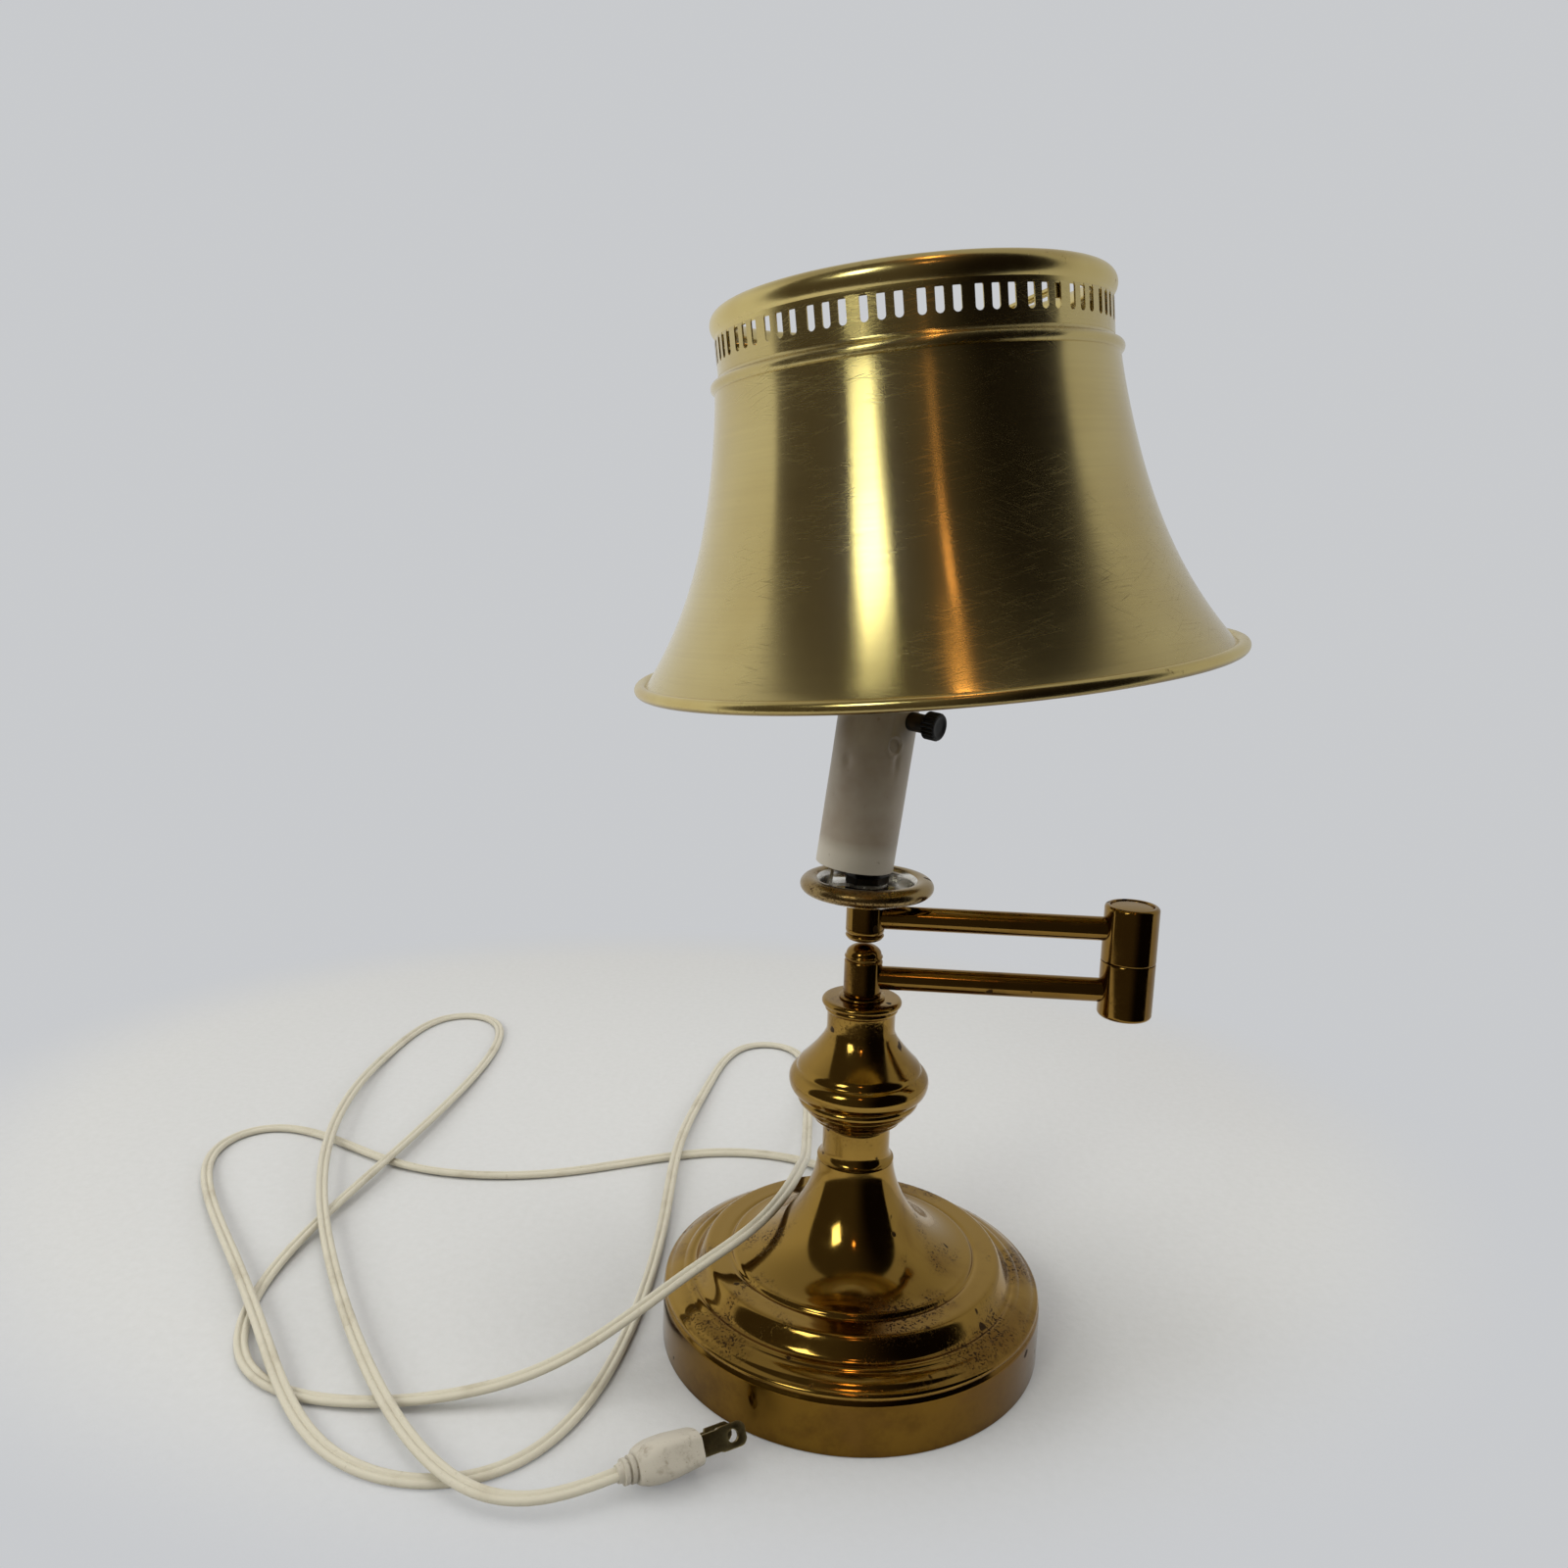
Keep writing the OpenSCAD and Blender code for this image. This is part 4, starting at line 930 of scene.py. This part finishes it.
def round_sleeve(angle, at):
    """The way round the sleeve between two angles in degrees, in millimetres."""
    return math.radians((angle - at + 180) % 360 - 180) * SLEEVE_R


def candle_sleeve():
    """A plastic tube softened by heat: shallow dents, waves, and one small crater with a raised rim."""
    bore, length, row = 14.1, 98.6, 0.8
    crater_at, crater_z = -59, 49.5
    line = [(bore, 0), (SLEEVE_R - 0.15, 0), (SLEEVE_R, 0.15)]
    line += [(SLEEVE_R, 2 + row * i) for i in range(120)]
    line += [(SLEEVE_R, 98.4), (SLEEVE_R - 0.15, length), (bore, length)]
    piece = turned("candle_tube", line, 144)
    for v in piece.data.vertices:
        x, y, z = v.co / MM
        if not 10 < z < 92:
            continue
        angle = math.degrees(math.atan2(y, x))
        press = 0.0
        for at, up, wide, tall, depth in SLEEVE_DENTS:
            across = round_sleeve(angle, at) / wide
            press += depth * math.exp(-(across**2) - ((z - up) / tall) ** 2)
        crater = math.hypot(round_sleeve(angle, crater_at) / 2.0, (z - crater_z) / 2.7)
        press += 1.8 * math.exp(-(crater**4)) - 0.45 * math.exp(-(((crater - 1.4) / 0.35) ** 2))
        press += 0.07 * noise.noise(Vector((x / 9, y / 9, z / 16)))
        inward = 1 - max(-0.5, press) / math.hypot(x, y)
        v.co.x *= inward
        v.co.y *= inward
    return piece


fitted(candle_sleeve(), "upper_arm", sleeve_white, "sleeve_plastic", "candle_sleeve", where=CANDLE)


def knob():
    """A small round knob with a knurled edge, a rounded front and a shallow dish in it."""
    foot_r, knurls, knurl_depth = 5.2, 20, 0.16
    deselect()
    bpy.ops.mesh.primitive_circle_add(vertices=120, radius=foot_r * MM, fill_type="NGON")
    piece = started("switch_button")
    steps = [(0.35, 5.24), (4.2, 5.24), (4.7, 4.9), (4.98, 4.2), (4.9, 3.6), (4.6, 3.1), (4.5, 1.5)]
    z0, r0 = 0, foot_r
    for z, r in steps:
        bpy.ops.mesh.extrude_region_move(TRANSFORM_OT_translate={"value": (0, 0, (z - z0) * MM)})
        bpy.ops.transform.resize(value=(r / r0, r / r0, 1), center_override=(0, 0, z * MM))
        z0, r0 = z, r
    bpy.ops.object.mode_set(mode="OBJECT")
    for v in piece.data.vertices:
        r = math.hypot(v.co.x, v.co.y)
        if r > 5.0 * MM and 0.2 * MM < v.co.z < 4.4 * MM:
            turns = knurls * math.atan2(v.co.y, v.co.x)
            inward = 1 - knurl_depth * (0.5 - 0.5 * math.cos(turns))
            v.co.x *= inward
            v.co.y *= inward
    bpy.ops.object.mode_set(mode="EDIT")
    closed()
    return piece


knob_place = SWITCH @ shift(0, 0, 22.5)
fitted(knob(), "switch", knob_black, "knob_plastic", "switch_knob", where=knob_place, smooth=50)


def bulb():
    """A round globe that narrows to its cap."""
    globe_r, cap_r, cap_z, throat, throat_z, points = 30, 12.6, 55, 24, 12.2, 12
    throat_r = globe_r * math.cos(math.radians(throat))
    line = [(0, globe_r)] + arc(0, 0, globe_r, globe_r, 88, -throat, 34)
    for i in range(1, points + 1):
        h = i / points
        r = cap_r + (throat_r - cap_r) * (1 - h) ** 1.35
        line.append((r, -throat_z - (cap_z - throat_z) * h))
    line.append((0, -cap_z))
    return turned("bulb_globe", line, 96)


fitted(bulb(), "upper_arm", bulb_glass, "bulb_glass", "bulb_glass", where=BULB)


# ---------------------------------------------------------------- shade
SHEET = 0.6  # the shade's wall


def shade_skirt():
    """The flared body from the rolled bead to the foot of the pierced band."""
    top_r, flare, foot_z, height, points = 71.5, 34.6, 2, 98, 40
    line = [(107.6, 0.4)]
    for i in range(points + 1):
        h = i / points
        spread = 0.45 * (1 - h) ** 3.3 + 0.55 * (1 - h) ** 1.2
        line.append((top_r + flare * spread, foot_z + height * h))
    line += arc(71.0, 102.9, 1.75, 2.0, -75, 75, 8)
    line += [(70.6, 105.1), (69.9, 105.6), (69.62, 106.3), (69.45, 107.2)]
    return turned("shade_skirt", walled(line, SHEET), 180)


def shade_roll():
    """The broad roll over the pierced band."""
    line = [(69.4, 118.2), (69.62, 118.95)] + arc(66.2, 123.7, 4.8, 4.8, -46, 222, 30)
    return turned("shade_roll", walled(line, SHEET), 180)


def shade_bead():
    """The rolled bead on the lower edge."""
    deselect()
    bpy.ops.mesh.primitive_torus_add(
        major_segments=180, minor_segments=20, major_radius=109.1 * MM, minor_radius=2.3 * MM
    )
    return started("shade_bead")


def slotted_band():
    """Three slots, modelled once and carried round in twenty-five turns, with the sheet's thickness."""
    radius, low, high, middle = 69.62, 106.6, 118.9, 114.8
    half_w, half_h = 1.35, 4.2
    groups, first_at, ring = 25, 275.3, 22
    rises = [0.12, 0.42, 0.72, 1.0]
    mesh = bmesh.new()
    for start, end, centre in ((-7.2, -2.2, -4.4), (-2.2, 2.2, 0), (2.2, 7.2, 4.4)):
        inner, outer = [], []
        for k in range(ring):
            a = math.radians((k + 0.5) * 360 / ring)
            up = 1 if math.sin(a) > 0 else -1
            x = math.radians(centre) * radius + half_w * math.cos(a)
            inner.append((x, middle + up * (half_h - half_w) + half_w * math.sin(a)))
        for up in (1, -1):
            edge_z = high if up > 0 else low
            right = [(end, middle + (edge_z - middle) * s) for s in rises]
            across = [(end - (end - start) * t, edge_z) for t in (0.25, 0.5, 0.75)]
            left = [(start, middle + (edge_z - middle) * s) for s in rises[::-1]]
            loop = right + across + left
            outer += loop if up > 0 else loop[::-1]
        ring_in = [mesh.verts.new((x, 0, z)) for x, z in inner]
        ring_out = [mesh.verts.new((math.radians(x) * radius, 0, z)) for x, z in outer]
        for k in range(ring):
            m = (k + 1) % ring
            mesh.faces.new((ring_in[k], ring_out[k], ring_out[m], ring_in[m]))
    for v in mesh.verts:
        a = v.co.x / radius + math.radians(first_at)
        v.co = Vector((radius * math.cos(a), radius * math.sin(a), v.co.z)) * MM
    band = from_bmesh("shade_band", mesh)
    chosen(band)
    bpy.ops.object.mode_set(mode="EDIT")
    bpy.ops.mesh.select_all(action="SELECT")
    bpy.ops.mesh.spin(steps=groups, angle=math.tau, center=(0, 0, 0), axis=(0, 0, 1), dupli=True)
    bpy.ops.mesh.select_all(action="SELECT")
    bpy.ops.mesh.remove_doubles(threshold=5e-6)
    bpy.ops.object.mode_set(mode="OBJECT")
    # an open sheet has no inside, so its faces are turned away from the axis one by one
    sheet = bmesh.new()
    sheet.from_mesh(band.data)
    for face in sheet.faces:
        c = face.calc_center_median()
        if face.normal.x * c.x + face.normal.y * c.y < 0:
            face.normal_flip()
    sheet.to_mesh(band.data)
    sheet.free()
    wall = band.modifiers.new("sheet", "SOLIDIFY")
    wall.thickness = SHEET * MM
    wall.offset = -1
    bpy.ops.object.modifier_apply(modifier=wall.name)
    return band


shade = joined("lamp_shade", shade_skirt(), slotted_band())
fitted(shade, "shade", satin, "brass_light", "shade_shell", where=SHADE_FOOT, smooth=40)
edges = joined("shade_edges", shade_roll(), shade_bead())
fitted(edges, "shade", edge_brass, "brass_bright", where=SHADE_FOOT)


# ---------------------------------------------------------------- CAD pieces that stay
def dress(finish, *names):
    """A finish on CAD nodes whose shape is right."""
    for name in names:
        node = nodes[name]
        if not node.material_slots:
            node.data.materials.append(finish)
        for slot in node.material_slots:
            slot.material = finish


dress(cast_iron, "base_weight")
dress(felt, "base_pad")
dress(steel, "base_spacer", "base_nut", "lamp_pipe", "elbow_pin")
dress(black_steel_and_shade, "pan_nipple", "pan_nut", "bracket_nut", "switch_neck")
dress(silvery, "socket_bracket")
dress(steel, "socket_screw", "switch_shaft", "bulb_stem")
dress(steel, "clip_fingers", "clip_plate", "clip_stud")
dress(bakelite, "socket_body")
dress(bright, "screw_shell", "centre_contact", "clip_nut", "shade_spider")
dress(aluminium, "bulb_cap")


# ---------------------------------------------------------------- studio
PAPER = (0.58, 0.592, 0.61)  # the plain ground that the camera sees behind everything


def floor():
    """A pale disc that catches the shadows and fades into the ground towards its edge."""
    middle = (-0.1, 0.19, -0.0001)
    squash = 0.8
    deselect()
    bpy.ops.mesh.primitive_circle_add(vertices=96, radius=0.45, fill_type="NGON", location=middle)
    ground = started("floor")
    bpy.ops.mesh.inset(thickness=0.2)
    bpy.ops.transform.resize(value=(1, squash, 1), center_override=middle)
    bpy.ops.object.mode_set(mode="OBJECT")
    f = Finish("floor_pale")
    nap = f.grain(260, 3, 0.6)
    f.colour(f.mix(nap, (0.57, 0.57, 0.56), (0.63, 0.63, 0.625)))
    f.rough(0.9)
    f.relief(nap, 0.0006, 0.25)
    x, y, _ = f.split(f.at)
    away = f.ramp((x * x + y * y * (1 / squash**2)) ** 0.5, 0.32, 0.44)
    seen = f.node("ShaderNodeLightPath", out="Is Camera Ray")
    glow = f.node("ShaderNodeEmission", sockets={"Color": (*PAPER, 1), "Strength": 1.0})
    cloth = Value(f.tree, f.shader.outputs[0])
    blend = f.node("ShaderNodeMixShader", sockets={0: away * seen, 1: cloth, 2: glow})
    f.tree.links.new(blend.socket, f.tree.nodes["Material Output"].inputs[0])
    ground.data.materials.append(f.material)


def world():
    """White walls at the sides and back, an unlit room in front, and a pale ground for the camera."""
    wall_left, wall_right, ceiling = (0.66, 0.66, 0.64), (0.47, 0.47, 0.46), (0.36, 0.35, 0.33)
    room_left, room_right = (0.07, 0.058, 0.042), (0.006, 0.004, 0.003)
    studio = bpy.data.worlds.new("studio")
    bpy.context.scene.world = studio
    studio.use_nodes = True
    sky = Patterns(studio.node_tree)
    x, y, z = sky.split(sky.node("ShaderNodeTexCoord", out="Generated"))
    walls = sky.mix(sky.ramp(x, -0.6, 0.6), wall_left, wall_right)
    bright_half = sky.mix(sky.ramp(z, 0.45, 0.9), walls, ceiling)
    unlit_half = sky.mix(sky.ramp(x, -0.1, 0.55), room_left, room_right)
    around = sky.mix(sky.ramp(y, -0.125, -0.08, 1.0, 0.0), bright_half, unlit_half)
    seen = sky.mix(sky.node("ShaderNodeLightPath", out="Is Camera Ray"), around, PAPER)
    sky.tree.links.new(seen.socket, sky.tree.nodes["Background"].inputs[0])


def lamp(name, place, aim, size, power, colour=(1, 1, 1), glossy=True, diffuse=True, roll=0):
    """A rectangular light that faces its aim; glossy and diffuse say in which of the two it shows."""
    light = bpy.data.lights.new(name, "AREA")
    light.shape = "RECTANGLE"
    light.size, light.size_y = size
    light.energy = power
    light.color = colour
    holder = bpy.data.objects.new(name, light)
    bpy.context.scene.collection.objects.link(holder)
    holder.location = place
    toward = (Vector(aim) - Vector(place)).to_track_quat("-Z", "Y").to_matrix().to_4x4()
    holder.rotation_euler = (toward @ turn("Z", roll)).to_euler()
    holder.visible_glossy = glossy
    holder.visible_diffuse = diffuse


floor()
world()
lamp("window", (-0.79, -1.29, 1.15), (0, 0, 0.25), (0.4, 0.52), 4.4, (0.96, 1.0, 0.88), roll=-14)
lamp("warm_lamp", (0.13, -1.5, 1.5), (0, 0, 0.25), (0.1, 0.12), 0.3, (1.0, 0.5, 0.2))
warm = (1.0, 0.5, 0.17)
lamp("warm_lamp_high", (0.045, -0.5, 1.88), (0, 0, 0.3), (0.12, 0.2), 0.95, warm, diffuse=False)
lamp("soft_front", (-0.8, -1.3, 1.0), (0, 0, 0.15), (1.4, 1.2), 4.5, glossy=False)
lamp("soft_left", (-1.4, -0.4, 0.9), (0, 0, 0.15), (1.2, 1.0), 10.5, glossy=False)
lamp("soft_right", (1.4, -0.2, 0.9), (0, 0, 0.15), (1.2, 1.0), 9.5, glossy=False)
lamp("soft_top", (0, 0.1, 1.8), (0, 0, 0), (1.6, 1.6), 16.5, glossy=False)

bpy.context.scene.view_settings.view_transform = "Standard"
